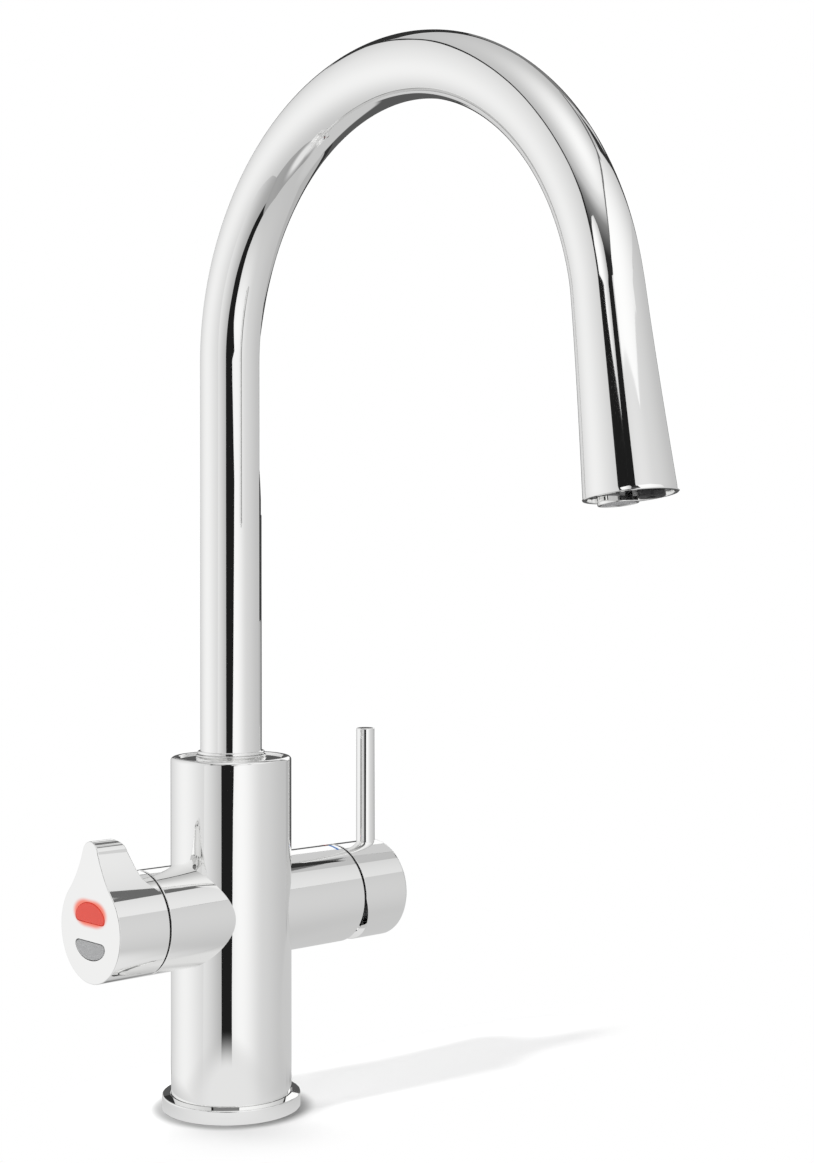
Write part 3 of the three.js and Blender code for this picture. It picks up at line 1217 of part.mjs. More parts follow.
function cartridgeTurret() {
  const turret = alongX(revolve([
    [0, TURRET_START],
    [CARTRIDGE_CAVITY_RADIUS - SEAT_GAP, TURRET_START],
    [CARTRIDGE_CAVITY_RADIUS - SEAT_GAP, TURRET_SHOULDER],
    [TURRET_NECK_RADIUS, TURRET_SHOULDER],
    [TURRET_NECK_RADIUS, TURRET_END],
    [0, TURRET_END],
  ]));
  const length = TURRET_END - TURRET_START + 2;
  const middle = (TURRET_END + TURRET_START) / 2;
  const slot = block(length, STEM_SQUARE + 2 * SEAT_GAP, 2 * TURRET_SLOT_HALF_HEIGHT, middle, 0, 0);
  return cut(turret, [slot, pivotHole()]);
}

function pivotHole() {
  const reach = CARTRIDGE_CAVITY_RADIUS;
  const hole = rod(PIVOT_PIN_RADIUS + SEAT_GAP, -reach, reach, SMALL_SIDES).rotateX(Math.PI / 2);
  return hole.translate(PIVOT_DISTANCE, 0, 0);
}

function pivotPin() {
  const pin = rod(PIVOT_PIN_RADIUS, -PIVOT_PIN_HALF_LENGTH, PIVOT_PIN_HALF_LENGTH, SMALL_SIDES);
  return pin.rotateX(Math.PI / 2).translate(PIVOT_DISTANCE, 0, 0);
}

function cartridgeStem() {
  const tipEnd = STEM_TIP_START + STEM_TIP_LENGTH;
  const tip = alongX(revolve([
    [0, STEM_TIP_START],
    [STEM_TIP_RADIUS - 0.8, STEM_TIP_START],
    [STEM_TIP_RADIUS, STEM_TIP_START + 0.8],
    [STEM_TIP_RADIUS, tipEnd],
    [STEM_NECK_RADIUS, tipEnd + 0.4],
    [STEM_NECK_RADIUS, STEM_SQUARE_START + 1],
    [0, STEM_SQUARE_START + 1],
  ], PORT_SIDES));
  const length = STEM_END - STEM_SQUARE_START;
  const middle = (STEM_END + STEM_SQUARE_START) / 2;
  const bar = block(length, STEM_SQUARE, STEM_SQUARE, middle, 0, 0);
  return cut(join([tip, bar]), [pivotHole()]);
}

function cartridgeNut() {
  return alongX(pipe(NUT_BORE, ARM_FIT_RADIUS, NUT_START, NUT_START + NUT_LENGTH));
}

function mixerShroud() {
  const start = NUT_START + NUT_LENGTH + SEAT_GAP;
  const end = MIXER_ARM_END - SHROUD_INSET;
  return alongX(revolve([
    [SHROUD_BORE, start],
    [ARM_FIT_RADIUS, start],
    [ARM_FIT_RADIUS, end - SHROUD_SLOPE],
    [SHROUD_BORE + SHROUD_FACE_WIDTH, end],
    [SHROUD_BORE, end],
  ]));
}

// Mixer knob and pin lever

function knobBevel() {
  const depth = (ARM_RADIUS + 1) * Math.tan(radians(FLOW_TRAVEL + BEVEL_MARGIN));
  const shape = new THREE.Shape();
  shape.moveTo(KNOB_START - 1, 0);
  shape.lineTo(KNOB_START - 1, -ARM_RADIUS - 1);
  shape.lineTo(KNOB_START + depth, -ARM_RADIUS - 1);
  shape.lineTo(KNOB_START, 0);
  const reach = ARM_RADIUS + 1;
  return prism(shape, -reach, reach).rotateX(Math.PI / 2);
}

function mixerKnob() {
  const bore = ARM_RADIUS - KNOB_WALL;
  const floor = KNOB_START + KNOB_CAVITY_DEPTH;
  const knob = alongX(revolve([
    [0, floor],
    [bore, floor],
    [bore, KNOB_START],
    [ARM_RADIUS, KNOB_START],
    [ARM_RADIUS, KNOB_END - KNOB_ROUND],
    [ARM_RADIUS - KNOB_ROUND * 0.3, KNOB_END - KNOB_ROUND * 0.3],
    [ARM_RADIUS - KNOB_ROUND, KNOB_END],
    [0, KNOB_END],
  ], BODY_SIDES));
  const square = STEM_SQUARE + 2 * SEAT_GAP;
  const socketEnd = STEM_END + SEAT_GAP;
  const socketLength = socketEnd - floor + 1;
  const threadHole = rod(PIN_STUD_RADIUS + SEAT_GAP, 0, ARM_RADIUS + 1, PORT_SIDES);
  const spotface = rod(PIN_SPOTFACE_RADIUS, PIN_SPOTFACE_HEIGHT, ARM_RADIUS + 1, PORT_SIDES);
  return cut(knob, [
    knobBevel(),
    block(socketLength, square, square, socketEnd - socketLength / 2, 0, 0),
    threadHole.translate(PIN_DISTANCE, 0, 0),
    spotface.translate(PIN_DISTANCE, 0, 0),
  ]);
}

function pinLever() {
  const seat = PIN_SPOTFACE_HEIGHT + SEAT_GAP;
  return revolve([
    [0, PIN_STUD_START],
    [PIN_STUD_RADIUS, PIN_STUD_START],
    [PIN_STUD_RADIUS, seat],
    [PIN_RADIUS, seat],
    [PIN_TOP_RADIUS, PIN_TOP - PIN_ROUND],
    [PIN_TOP_RADIUS - PIN_ROUND * 0.3, PIN_TOP - PIN_ROUND * 0.3],
    [PIN_TOP_RADIUS - PIN_ROUND, PIN_TOP],
    [0, PIN_TOP],
  ]).translate(PIN_DISTANCE, 0, 0);
}

function grubScrew() {
  const bottom = STEM_SQUARE / 2 + SEAT_GAP;
  const top = PIN_STUD_START - SEAT_GAP;
  return revolve([
    [0, bottom],
    [PIN_STUD_RADIUS, bottom],
    [PIN_STUD_RADIUS, top],
    [GRUB_SOCKET_RADIUS, top],
    [GRUB_SOCKET_RADIUS, top - GRUB_SOCKET_DEPTH],
    [0, top - GRUB_SOCKET_DEPTH],
  ], SMALL_SIDES).translate(PIN_DISTANCE, 0, 0);
}

// Assembly

function addFoot(tap) {
  const ports = portPlaces();
  place(tap, 'base_ring', baseRing(), chrome());
  place(tap, 'base_seal', pipe(SEAL_INNER_RADIUS, SEAL_OUTER_RADIUS, 0, SEAL_THICKNESS, BODY_SIDES), rubber());
  place(tap, 'base_plate', basePlate(), brass());
  const footRingCentre = FIT_RADIUS + SEAT_GAP / 2 - FOOT_RING_SECTION;
  place(tap, 'foot_o_ring', ringSeal(footRingCentre, FOOT_RING_SECTION, FOOT_RING_HEIGHT), rubber());
  for (const name of ['hot', 'cold', 'boiling']) {
    const [x, y] = ports[name];
    place(tap, `${name}_inlet`, inlet(), brass()).position.set(x, y, 0);
    place(tap, `${name}_riser`, riser(), copper()).position.set(x, y, 0);
  }
  place(tap, 'cable_grommet', cableGrommet(), rubber()).position.set(...ports.cable, 0);
  place(tap, 'front_stud_socket', studSocket(), steel()).position.set(0, -STUD_CIRCLE, 0);
  place(tap, 'rear_stud_socket', studSocket(), steel()).position.set(0, STUD_CIRCLE, 0);
}

function addBody(tap) {
  place(tap, 'body_shell', bodyShell(), chrome());
  place(tap, 'inner_manifold', innerManifold(), brass());
  place(tap, 'lower_spout_seal', ringSeal(SEAL_CENTRE_RADIUS, SEAL_SECTION, LOWER_SEAL_HEIGHT), rubber());
  place(tap, 'upper_spout_seal', ringSeal(SEAL_CENTRE_RADIUS, SEAL_SECTION, UPPER_SEAL_HEIGHT), rubber());
  place(tap, 'swivel_stop_screw', stopScrew(), steel());
  place(tap, 'swivel_bush', swivelBush(), whitePlastic());
  place(tap, 'top_collar', topCollar(), chrome());
}

function addSpout(tap) {
  place(tap, 'spout_foot', spoutFoot(), brass());
  place(tap, 'spout_clip', spoutClip(), steel());
  place(tap, 'spout_trim_ring', trimRing(), chrome());
  place(tap, 'spout_tube', spoutTube(), chrome());
  place(tap, 'boiling_tube', boilingTube(), copper());
  const outlet = new THREE.Group();
  outlet.position.copy(alongSpout(SPOUT_LENGTH).centre);
  outlet.rotation.x = OUTLET_HEADING;
  place(outlet, 'outlet_insert', outletInsert(), darkMetal());
  place(outlet, 'boiling_nozzle', boilingNozzle(), blackPlastic()).position.y = NOZZLE_OFFSET;
  const aerator = new THREE.Group();
  aerator.position.y = AERATOR_OFFSET;
  place(aerator, 'aerator_housing', aeratorHousing(), chrome());
  place(aerator, 'aerator_mesh', aeratorMesh(), steel());
  place(aerator, 'flow_restrictor', flowRestrictor(), whitePlastic());
  place(aerator, 'aerator_seal', aeratorSeal(), rubber());
  outlet.add(aerator);
  tap.add(outlet);
}

function addBoilingSide(cross) {
  place(cross, 'boil_valve_body', boilValveBody(), brass());
  place(cross, 'boil_valve_spindle', boilValveSpindle(), steel());
  place(cross, 'lever_return_spring', returnSpring(), steel());
  place(cross, 'lever_bearing', leverBearing(), whitePlastic());
  place(cross, 'lever_gasket', leverGasket(), rubber());
  place(cross, 'boil_lever', boilLever(), chrome());
  place(cross, 'lever_hub', leverHub(), brass());
  place(cross, 'lever_screw', leverScrew(), steel());
  place(cross, 'button_board', buttonBoard(), boardGreen());
  place(cross, 'button_lamp', buttonLamp(), lampRed());
  place(cross, 'select_dome', siliconeDome(1), silicone());
  place(cross, 'safety_dome', siliconeDome(-1), silicone());
  place(cross, 'select_button', pushButton(1), buttonRed());
  place(cross, 'safety_button', pushButton(-1), buttonGrey());
}

function addMixerSide(cross) {
  place(cross, 'cartridge_housing', cartridgeHousing(), whitePlastic());
  place(cross, 'fixed_disc', fixedDisc(), ceramic());
  place(cross, 'moving_disc', movingDisc(), ceramic());
  place(cross, 'disc_carrier', discCarrier(), whitePlastic());
  place(cross, 'cartridge_turret', cartridgeTurret(), whitePlastic());
  place(cross, 'pivot_pin', pivotPin(), steel());
  place(cross, 'cartridge_stem', cartridgeStem(), steel());
  place(cross, 'cartridge_nut', cartridgeNut(), brass());
  place(cross, 'mixer_shroud', mixerShroud(), blackPlastic());
  place(cross, 'mixer_knob', mixerKnob(), chrome());
  place(cross, 'pin_lever', pinLever(), chrome());
  place(cross, 'grub_screw', grubScrew(), steel());
  place(cross, 'cold_mark', temperatureMark(90 + MARK_NEAR_ANGLE, 90 + MARK_FAR_ANGLE), markBlue());
  place(cross, 'hot_mark', temperatureMark(90 - MARK_FAR_ANGLE, 90 - MARK_NEAR_ANGLE), markRed());
}

const tap = new THREE.Group();
addFoot(tap);
addBody(tap);
addSpout(tap);
const cross = new THREE.Group();
cross.position.z = CROSS_HEIGHT;
addBoilingSide(cross);
addMixerSide(cross);
tap.add(cross);

export default tap;
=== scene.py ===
"""Looks of the boiling water tap, in metres, in the same frame as its CAD model."""
import math
import bmesh
import bpy
import numpy as np
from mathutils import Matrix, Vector
from mathutils.geometry import tessellate_polygon


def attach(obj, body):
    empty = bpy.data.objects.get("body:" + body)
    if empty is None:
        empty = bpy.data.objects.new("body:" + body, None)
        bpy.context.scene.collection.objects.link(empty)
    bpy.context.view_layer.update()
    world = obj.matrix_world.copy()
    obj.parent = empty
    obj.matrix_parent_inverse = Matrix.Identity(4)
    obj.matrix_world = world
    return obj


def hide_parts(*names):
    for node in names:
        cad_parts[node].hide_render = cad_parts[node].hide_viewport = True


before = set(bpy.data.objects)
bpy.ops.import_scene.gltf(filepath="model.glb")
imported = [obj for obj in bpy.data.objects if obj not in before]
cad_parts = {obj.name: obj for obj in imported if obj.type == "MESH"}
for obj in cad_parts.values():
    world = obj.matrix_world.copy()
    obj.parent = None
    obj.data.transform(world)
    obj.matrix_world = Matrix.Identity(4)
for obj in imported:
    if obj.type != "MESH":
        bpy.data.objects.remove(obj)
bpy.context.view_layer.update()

# ---------------------------------------------------------------- Camera
# A level studio view from the front left, aimed half a degree down, with no lens shift.
# The focal length and the place come from matching the tap's edges in the photograph.
scene = bpy.context.scene
camera_data = bpy.data.cameras.new("camera")
camera_data.lens = 57.25
camera_data.sensor_width = 36.0
camera_data.clip_start = 0.01
camera_data.clip_end = 50.0
camera = bpy.data.objects.new("camera", camera_data)
camera.location = (-0.4654, -0.6166, 0.2253)
camera.rotation_euler = (math.radians(90.0 - 0.527), 0.0, math.radians(-42.48))
scene.collection.objects.link(camera)
scene.camera = camera
scene.view_settings.view_transform = "Standard"

# ---------------------------------------------------------------- Studio room
# Plain even light for everything, a white room for the camera, and for reflections a
# light tent: dark walls, a grey floor far below and a ceiling with one soft lamp.
WHITE = (1.0, 1.0, 1.0, 1.0)
ROOM_TONES = ((0.0, 0.34), (0.065, 0.385), (0.10, 0.37), (0.105, 0.014), (0.69, 0.013), (0.73, 0.028),
              (0.765, 0.125), (0.80, 0.25), (0.84, 0.51), (0.90, 0.56), (1.0, 0.64))


def feed(tree, node, sockets):
    """Sets a node's inputs: an output is linked, anything else becomes the input's constant."""
    for name, value in sockets.items():
        if isinstance(value, bpy.types.NodeSocket):
            tree.links.new(value, node.inputs[name])
        else:
            node.inputs[name].default_value = value
    return node


def add_node(tree, kind, sockets=None, **settings):
    """A new shader node with its settings made and its inputs fed."""
    node = tree.nodes.new("ShaderNode" + kind)
    for name, value in settings.items():
        setattr(node, name, value)
    return feed(tree, node, sockets or {})


def calc(tree, operation, *values):
    """The result of a math node on constants or outputs."""
    return add_node(tree, "Math", dict(enumerate(values)), operation=operation).outputs[0]


def vector_calc(tree, operation, *values):
    """The result of a vector math node, which is a number for a product, distance or length."""
    node = add_node(tree, "VectorMath", dict(enumerate(values)), operation=operation)
    return node.outputs["Value" if operation in ("DOT_PRODUCT", "DISTANCE", "LENGTH") else "Vector"]


def remap(tree, value, start, end, low=0.0, high=1.0, kind="LINEAR"):
    """A value that runs from low at start to high at end and stays level beyond them."""
    sockets = {"Value": value, "From Min": start, "From Max": end, "To Min": low, "To Max": high}
    return add_node(tree, "MapRange", sockets, interpolation_type=kind).outputs["Result"]


def blend(tree, factor, first, second):
    """A mix of two shaders: the first at factor 0, the second at factor 1."""
    return add_node(tree, "MixShader", {0: factor, 1: first, 2: second}).outputs["Shader"]


def compass(azimuth, elevation):
    """Unit direction from a compass angle off -Y, towards +X, and a height angle, in degrees."""
    a, e = math.radians(azimuth), math.radians(elevation)
    return Vector((math.sin(a) * math.cos(e), -math.cos(a) * math.cos(e), math.sin(e)))


def soft_spot(tree, direction, azimuth, elevation, radius):
    """A value that falls smoothly from 1 at a direction to 0 at radius degrees from it."""
    angle = calc(tree, "ARCCOSINE", vector_calc(tree, "DOT_PRODUCT", direction, compass(azimuth, elevation)))
    return remap(tree, angle, math.radians(radius), 0.0, kind="SMOOTHSTEP")


world = bpy.data.worlds.new("tent")
scene.world = world
world.use_nodes = True
room = world.node_tree
room.nodes.clear()
room_rays = add_node(room, "LightPath").outputs
room_view = add_node(room, "TexCoord").outputs["Generated"]
room_height = add_node(room, "SeparateXYZ", {0: room_view}).outputs["Z"]
room_ramp = add_node(room, "ValToRGB", {"Fac": remap(room, room_height, -1.0, 1.0)})
room_stops = room_ramp.color_ramp.elements
for place, _ in ROOM_TONES[1:-1]:
    room_stops.new(place)
for stop, (_, tone) in zip(room_stops, ROOM_TONES):
    stop.color = (tone, tone, tone, 1.0)
room_tone = room_ramp.outputs["Color"]
room_lamp = calc(room, "MULTIPLY_ADD", soft_spot(room, room_view, -12.0, 60.0, 50.0), 0.42, room_tone)
room_lift = add_node(room, "Mix", {"Factor": remap(room, room_height, 0.60, 0.75), "A": room_tone, "B": room_lamp})
room_tent = add_node(room, "Background", {"Color": WHITE, "Strength": room_lift.outputs["Result"]})
room_even = add_node(room, "Background", {"Color": WHITE, "Strength": 0.16})
room_white = add_node(room, "Background", {"Color": WHITE})
room_lit = blend(room, room_rays["Is Glossy Ray"], room_even.outputs[0], room_tent.outputs[0])
room_all = blend(room, room_rays["Is Camera Ray"], room_lit, room_white.outputs[0])
add_node(room, "OutputWorld", {"Surface": room_all})

# ---------------------------------------------------------------- Studio cards
# Diffusion sheets, their dark frames, a lamp and the white backdrop, placed by compass angle and
# height. Only reflections see them: they draw the stripes on the tubes.
SHARP = math.radians(30.0)


def mesh_object(name, verts, faces, material):
    """A smooth-shaded mesh from points in metres; edges sharper than SHARP stay crisp."""
    mesh = bpy.data.meshes.new(name)
    mesh.from_pydata([tuple(map(float, v)) for v in verts], [], [tuple(map(int, f)) for f in faces])
    mesh.validate()
    mesh.shade_smooth()
    mesh.set_sharp_from_angle(angle=SHARP)
    mesh.materials.append(material)
    obj = bpy.data.objects.new(name, mesh)
    scene.collection.objects.link(obj)
    return obj


def bare_material(name):
    """A material with an empty node tree, which never counts as a lamp, and that tree."""
    material = bpy.data.materials.new(name)
    material.use_nodes = True
    material.node_tree.nodes.clear()
    material.cycles.emission_sampling = "NONE"
    return material, material.node_tree


def sheet(name, middle, rim, distance, tone, spots=(), eye=(0.0, -0.1, 0.25), levels=8):
    """A card of one tone with soft spots, on a sphere about eye. Its rim runs through (azimuth,
    elevation) corners along great circles; spots are (azimuth, elevation, radius, added tone)."""
    centre = compass(*middle)
    edge = []
    for here, there in zip(rim, list(rim[1:]) + [rim[0]]):
        a, b = compass(*here), compass(*there)
        steps = max(1, math.ceil(math.degrees(a.angle(b)) / 5.0))
        edge += [(a * (1 - k / steps) + b * (k / steps)).normalized() for k in range(steps)]
    verts = [Vector(eye) + centre * distance]
    for level in range(1, levels + 1):
        t = level / levels
        verts += [Vector(eye) + (centre * (1 - t) + d * t).normalized() * distance for d in edge]
    n = len(edge)
    faces = [(0, 1 + i, 1 + (i + 1) % n) for i in range(n)]
    for level in range(levels - 1):
        a, b = 1 + level * n, 1 + (level + 1) * n
        faces += [(a + i, b + i, b + (i + 1) % n, a + (i + 1) % n) for i in range(n)]
    material, tree = bare_material(name)
    strength = tone
    if spots:
        place = add_node(tree, "TexCoord").outputs["Object"]
        ray = vector_calc(tree, "NORMALIZE", vector_calc(tree, "SUBTRACT", place, eye))
        for azimuth, elevation, radius, gain in spots:
            spot = soft_spot(tree, ray, azimuth, elevation, radius)
            strength = calc(tree, "MULTIPLY_ADD", spot, gain, strength)
    emission = add_node(tree, "Emission", {"Color": WHITE, "Strength": strength})
    add_node(tree, "OutputMaterial", {"Surface": emission.outputs["Emission"]})
    card = mesh_object(name, verts, faces, material)
    card.visible_camera = False
    card.visible_diffuse = False
    card.visible_shadow = False
    card.visible_transmission = False


sheet("tent_back", (125, 10), ((96, -22), (108, -41), (120, -55), (132, -55), (146, -55), (160, -58), (172, -30),
      (172, 0), (172, 30), (172, 50), (160, 52), (148, 52.5), (132, 52), (116, 50.5), (104, 48.5), (92, 47), (84, 46),
      (74, 44.5), (80, 34), (90, 20), (94, 0)), 14.0, 0.032)
BACK_RIM = ((95, 33), (104, 33.2), (112, 33.4), (122, 33.6), (138, 33.6), (149, 33), (166, 33),
            (172, 50), (160, 52), (148, 52.5), (132, 52), (116, 50.5), (104, 48.5), (94, 47.2))
sheet("back_upper", (122, 42), BACK_RIM, 13.5, 0.64)
sheet("back_flag", (122, 42), BACK_RIM, 0.78, 0.032, (), (0.0, -0.1, 0.39))
sheet("left_frame", (-143, -5), ((-75, 0), (-75, 20), (-75.3, 35), (-84, 41.8), (-92, 45.2), (-100, 48.2),
      (-108, 51.2), (-116, 53), (-124, 54.6), (-132, 56), (-140, 56.8), (-150, 57.4), (-160, 56.6), (-172, 53),
      (-180, 50.6), (172, 46.5), (165, 42), (156, 32), (152, 20), (152, 0), (152, -40), (-143, -40),
      (-85, -30)), 13.0, 0.017)
sheet("left_sheet", (-143, -5), ((-80, -52), (-79, 0), (-79.3, 20), (-79.5, 33.5), (-84, 38.8), (-92, 42.4),
      (-100, 45.5), (-108, 48.6), (-116, 50.4), (-124, 52), (-132, 53.4), (-140, 54.2), (-150, 54.8), (-160, 54),
      (-172, 50.4), (-180, 48), (172, 44), (165, 39), (158, 31), (154.5, 20), (154, 0), (154, -56), (165, -64),
      (-178, -70), (-160, -74), (-140, -76), (-124, -73), (-108, -68), (-92, -60)), 12.0, 0.56,
      ((-138, 5, 100, 0.34), (-136, -20, 45, 0.08)))
sheet("left_return", (-72, -20), ((-84, 11.5), (-56, 11.5), (-56, -15), (-57.5, -20), (-58.5, -40), (-57, -53),
      (-80, -53), (-92, -40), (-98, -24), (-92, -14)), 11.0, 0.40, ((-98, 0, 60, 0.47),))
sheet("right_frame", (40, -10), ((-28, 20), (-30, 29), (-25, 35), (-20, 38.2), (-16, 41), (-12, 43.4), (-4, 46.9),
      (4, 49.4), (12, 51.2), (20, 52.2), (28, 53), (36, 53.2), (50, 53), (60, 52), (67, 51), (60, 0), (0, 0)),
      11.5, 0.18)
sheet("right_low", (30, -20), ((-36.5, 25), (0, 25), (40, 25), (94, 25), (96, 18), (97, 0), (98, -20), (102, -30),
      (107, -38), (113, -45), (121, -56), (118, -68), (80, -78), (20, -79), (-4, -76), (-16, -72), (-24, -66),
      (-34, -60), (-41, -52), (-42, -44), (-41.5, -36), (-39, -28), (-37, -22), (-36.3, -14), (-34, -8.5),
      (-29.5, -4), (-26, 0), (-23, 5), (-36, 8), (-37.5, 18)), 11.0, 0.56, ((-24, -8, 50, 0.30), (0, 5, 90, 0.19)))
sheet("right_high", (30, 32), ((-34, 23.3), (0, 23.3), (30, 23.3), (94.5, 23.3), (91, 32), (84, 37.5), (76, 44),
      (68, 50), (60, 50.2), (50, 51.5), (36, 51.6), (28, 51.3), (20, 50.5), (12, 49.5), (4, 47.6), (-4, 45),
      (-12, 41.4), (-16, 39), (-20, 36.2), (-24, 33.3), (-28, 30), (-32, 26)), 10.5, 0.54, ((-16, 30, 112, 0.52),))
sheet("right_seam", (78, 50), ((55, 51.8), (100, 51.2), (100, 48.6), (55, 49.6)), 10.2, 0.15)
sheet("lamp", (-62, 26), ((-74.5, 20.7), (-62, 21.0), (-53, 20.7), (-48, 24), (-49, 29), (-54, 33), (-60, 34.3),
      (-66, 32.5), (-72, 28.5), (-75, 24)), 10.0, 0.36, ((-68, 23, 26, 0.72),))
sheet("right_floor", (102, -20), ((92, -2), (112, -2), (112, -40), (92, -40)), 9.4, 0.47)
sheet("low_flag", (134, -15), ((114, 12), (124, 12), (134, 12), (144, 12), (156, 11), (160, -10), (158, -40),
      (114, -40), (112, -10)), 0.8, 0.10, (), (0.0, 0.0, 0.1))
sheet("arm_flag", (100, 54), ((79, 51), (100, 51), (122, 51), (122, 61), (79, 61)), 0.9, 0.20, (), (0.0, 0.0, 0.12))
sheet("backdrop", (128, 10), ((99, 3), (98.5, 18), (105, 27), (112, 31), (122, 33), (138, 33), (147, 24), (149, 5),
      (146, -10), (123, -12), (118, 2)), 10.0, 1.06)

# ---------------------------------------------------------------- Floor and lights
# A pale floor that keeps the soft shadow and turns white away from the foot; a painted contact shadow darkens its
# colour in a thin ring round the foot.
# Chrome sees only a few patches of it near the foot; elsewhere the tent goes on below the tap.
floor_material, floor_tree = bare_material("floor")
floor_rays = add_node(floor_tree, "LightPath").outputs
floor_place = add_node(floor_tree, "TexCoord").outputs["Object"]
FOOT = (0.0, 0.0, 0.0)
FLOOR_HALF, FLOOR_Z = 6.0, -0.0002


def floor_fade(centre, low, high, stretch=(1.0, 1.0, 1.0)):
    """A value that falls smoothly from 1 at radius low to 0 at radius high about a place on the
    floor, both measured after the floor's coordinates are multiplied by stretch."""
    scaled = vector_calc(floor_tree, "MULTIPLY", floor_place, stretch)
    reach = vector_calc(floor_tree, "DISTANCE", scaled, [c * s for c, s in zip(centre, stretch)])
    return remap(floor_tree, reach, high, low, kind="SMOOTHSTEP")


def largest(values):
    """The largest of several values."""
    result = values[0]
    for value in values[1:]:
        result = calc(floor_tree, "MAXIMUM", result, value)
    return result


# Painted contact shadow: the floor's colour falls from 0.86 to 0.44 in a thin ring round the foot, in place of shade.
painted_shadow_tones = {"Factor": floor_fade(FOOT, 0.0295, 0.036), "A": (0.86, 0.86, 0.86, 1.0), "B": (0.44, 0.44, 0.44, 1.0)}
painted_contact_shadow = add_node(floor_tree, "Mix", painted_shadow_tones, data_type="RGBA").outputs["Result"]
floor_paint = add_node(floor_tree, "BsdfDiffuse", {"Color": painted_contact_shadow}).outputs["BSDF"]
floor_white = add_node(floor_tree, "Emission", {"Color": WHITE}).outputs["Emission"]
floor_shadow = largest([floor_fade(FOOT, 0.036, 0.076),
                        floor_fade((0.115, -0.012, 0.0), 0.075, 0.118, (1.0, 2.6, 1.0))])
floor_near = blend(floor_tree, floor_shadow, floor_white, floor_paint)
floor_lit = blend(floor_tree, floor_rays["Is Camera Ray"], floor_paint, floor_near)
floor_front = floor_fade(compass(-44, 0) * 0.075, 0.03, 0.10)
floor_glow = remap(floor_tree, floor_front, 0.0, 1.0, 0.60, 0.82)
floor_patch = add_node(floor_tree, "Emission", {"Strength": floor_glow}).outputs["Emission"]
floor_clear = add_node(floor_tree, "BsdfTransparent").outputs["BSDF"]
floor_mirrored = largest([floor_fade(FOOT, 0.035, 0.075), floor_front,
                          floor_fade(compass(118, 0) * 0.24, 0.17, 0.23)])
floor_seen = blend(floor_tree, floor_mirrored, floor_clear, floor_patch)
floor_all = blend(floor_tree, floor_rays["Is Glossy Ray"], floor_lit, floor_seen)
add_node(floor_tree, "OutputMaterial", {"Surface": floor_all})
floor_corners = [(x * FLOOR_HALF, y * FLOOR_HALF, FLOOR_Z) for x, y in ((-1, -1), (1, -1), (1, 1), (-1, 1))]
mesh_object("floor", floor_corners, [(0, 1, 2, 3)], floor_material)


def soft_light(name, azimuth, elevation, distance, width, height, energy):
    """A soft box that lights dull surfaces and casts the shadow but isn't mirrored."""
    data = bpy.data.lights.new(name, "AREA")
    data.shape = "RECTANGLE"
    data.size = width
    data.size_y = height
    data.energy = energy
    light = bpy.data.objects.new(name, data)
    light.location = compass(azimuth, elevation) * distance
    light.rotation_euler = (-Vector(light.location)).to_track_quat("-Z", "Y").to_euler()
    light.visible_glossy = False
    scene.collection.objects.link(light)


soft_light("key", -97.0, 50.0, 3.0, 0.30, 0.30, 58.0)
soft_light("back_light", 140.0, 40.0, 3.0, 6.0, 1.8, 172.0)
soft_light("front_fill", -60.0, 6.0, 2.5, 1.2, 0.8, 30.0)

# ---------------------------------------------------------------- Chrome
# Polished plate: a mirror with faint wiping haze, long waves left by the polishing wheel
# and a barely warm tint. A shared node group gives the varying haze and the soft waves.
CHROME_TINT = (0.935, 0.935, 0.93, 1.0)


def new_group(name, inputs, outputs):
    """An empty shader node group, the outputs of its inner input node and its output node.
    Sockets called Color and Normal carry a colour and a vector, all others a number."""
    kinds = {"Color": "NodeSocketColor", "Normal": "NodeSocketVector"}
    group = bpy.data.node_groups.new(name, "ShaderNodeTree")
    for label, value in inputs.items():
        kind = kinds.get(label, "NodeSocketFloat")
        group.interface.new_socket(label, in_out="INPUT", socket_type=kind).default_value = value
    for label in outputs:
        group.interface.new_socket(label, in_out="OUTPUT", socket_type=kinds.get(label, "NodeSocketFloat"))
    return group, group.nodes.new("NodeGroupInput").outputs, group.nodes.new("NodeGroupOutput")


def noise(tree, vector, scale, detail=2.0, rough=0.5):
    """A noise texture's value at some coordinates."""
    sockets = {"Vector": vector, "Scale": scale, "Detail": detail, "Roughness": rough}
    return add_node(tree, "TexNoise", sockets).outputs["Fac"]


polish, polish_in, polish_out = new_group("polish", {"Low": 0.02, "High": 0.05}, ("Roughness", "Normal"))
polish_place = add_node(polish, "TexCoord").outputs["Object"]
polish_haze = remap(polish, noise(polish, polish_place, 26.0, 4.0, 0.6), 0.35, 0.75,
                    polish_in["Low"], polish_in["High"], "SMOOTHSTEP")
polish_waves = add_node(polish, "Bump", {
    "Strength": 0.35, "Distance": 0.00003, "Height": noise(polish, polish_place, 60.0, 1.0)})
feed(polish, polish_out, {"Roughness": polish_haze, "Normal": polish_waves.outputs["Normal"]})


def principled(name, group, sockets, own):
    """A material whose shader takes its own constants and, for the rest, a shared group's outputs."""
    material = bpy.data.materials.new(name)
    material.use_nodes = True
    tree = material.node_tree
    surface = add_node(tree, "Group", sockets, node_tree=group)
    shared = {"Base Color" if out.name == "Color" else out.name: out for out in surface.outputs}
    feed(tree, tree.nodes["Principled BSDF"], {**own, **shared})
    return material


def chrome_material(name):
    """Polished plate with haze and polishing waves from the shared group."""
    return principled(name, polish, {"Low": 0.015, "High": 0.045}, {"Base Color": CHROME_TINT, "Metallic": 1.0})


chrome = chrome_material("chrome_plate")


def turned(sides):
    """Angles evenly spread over a full turn, in radians."""
    return 2 * np.pi * np.arange(sides) / sides


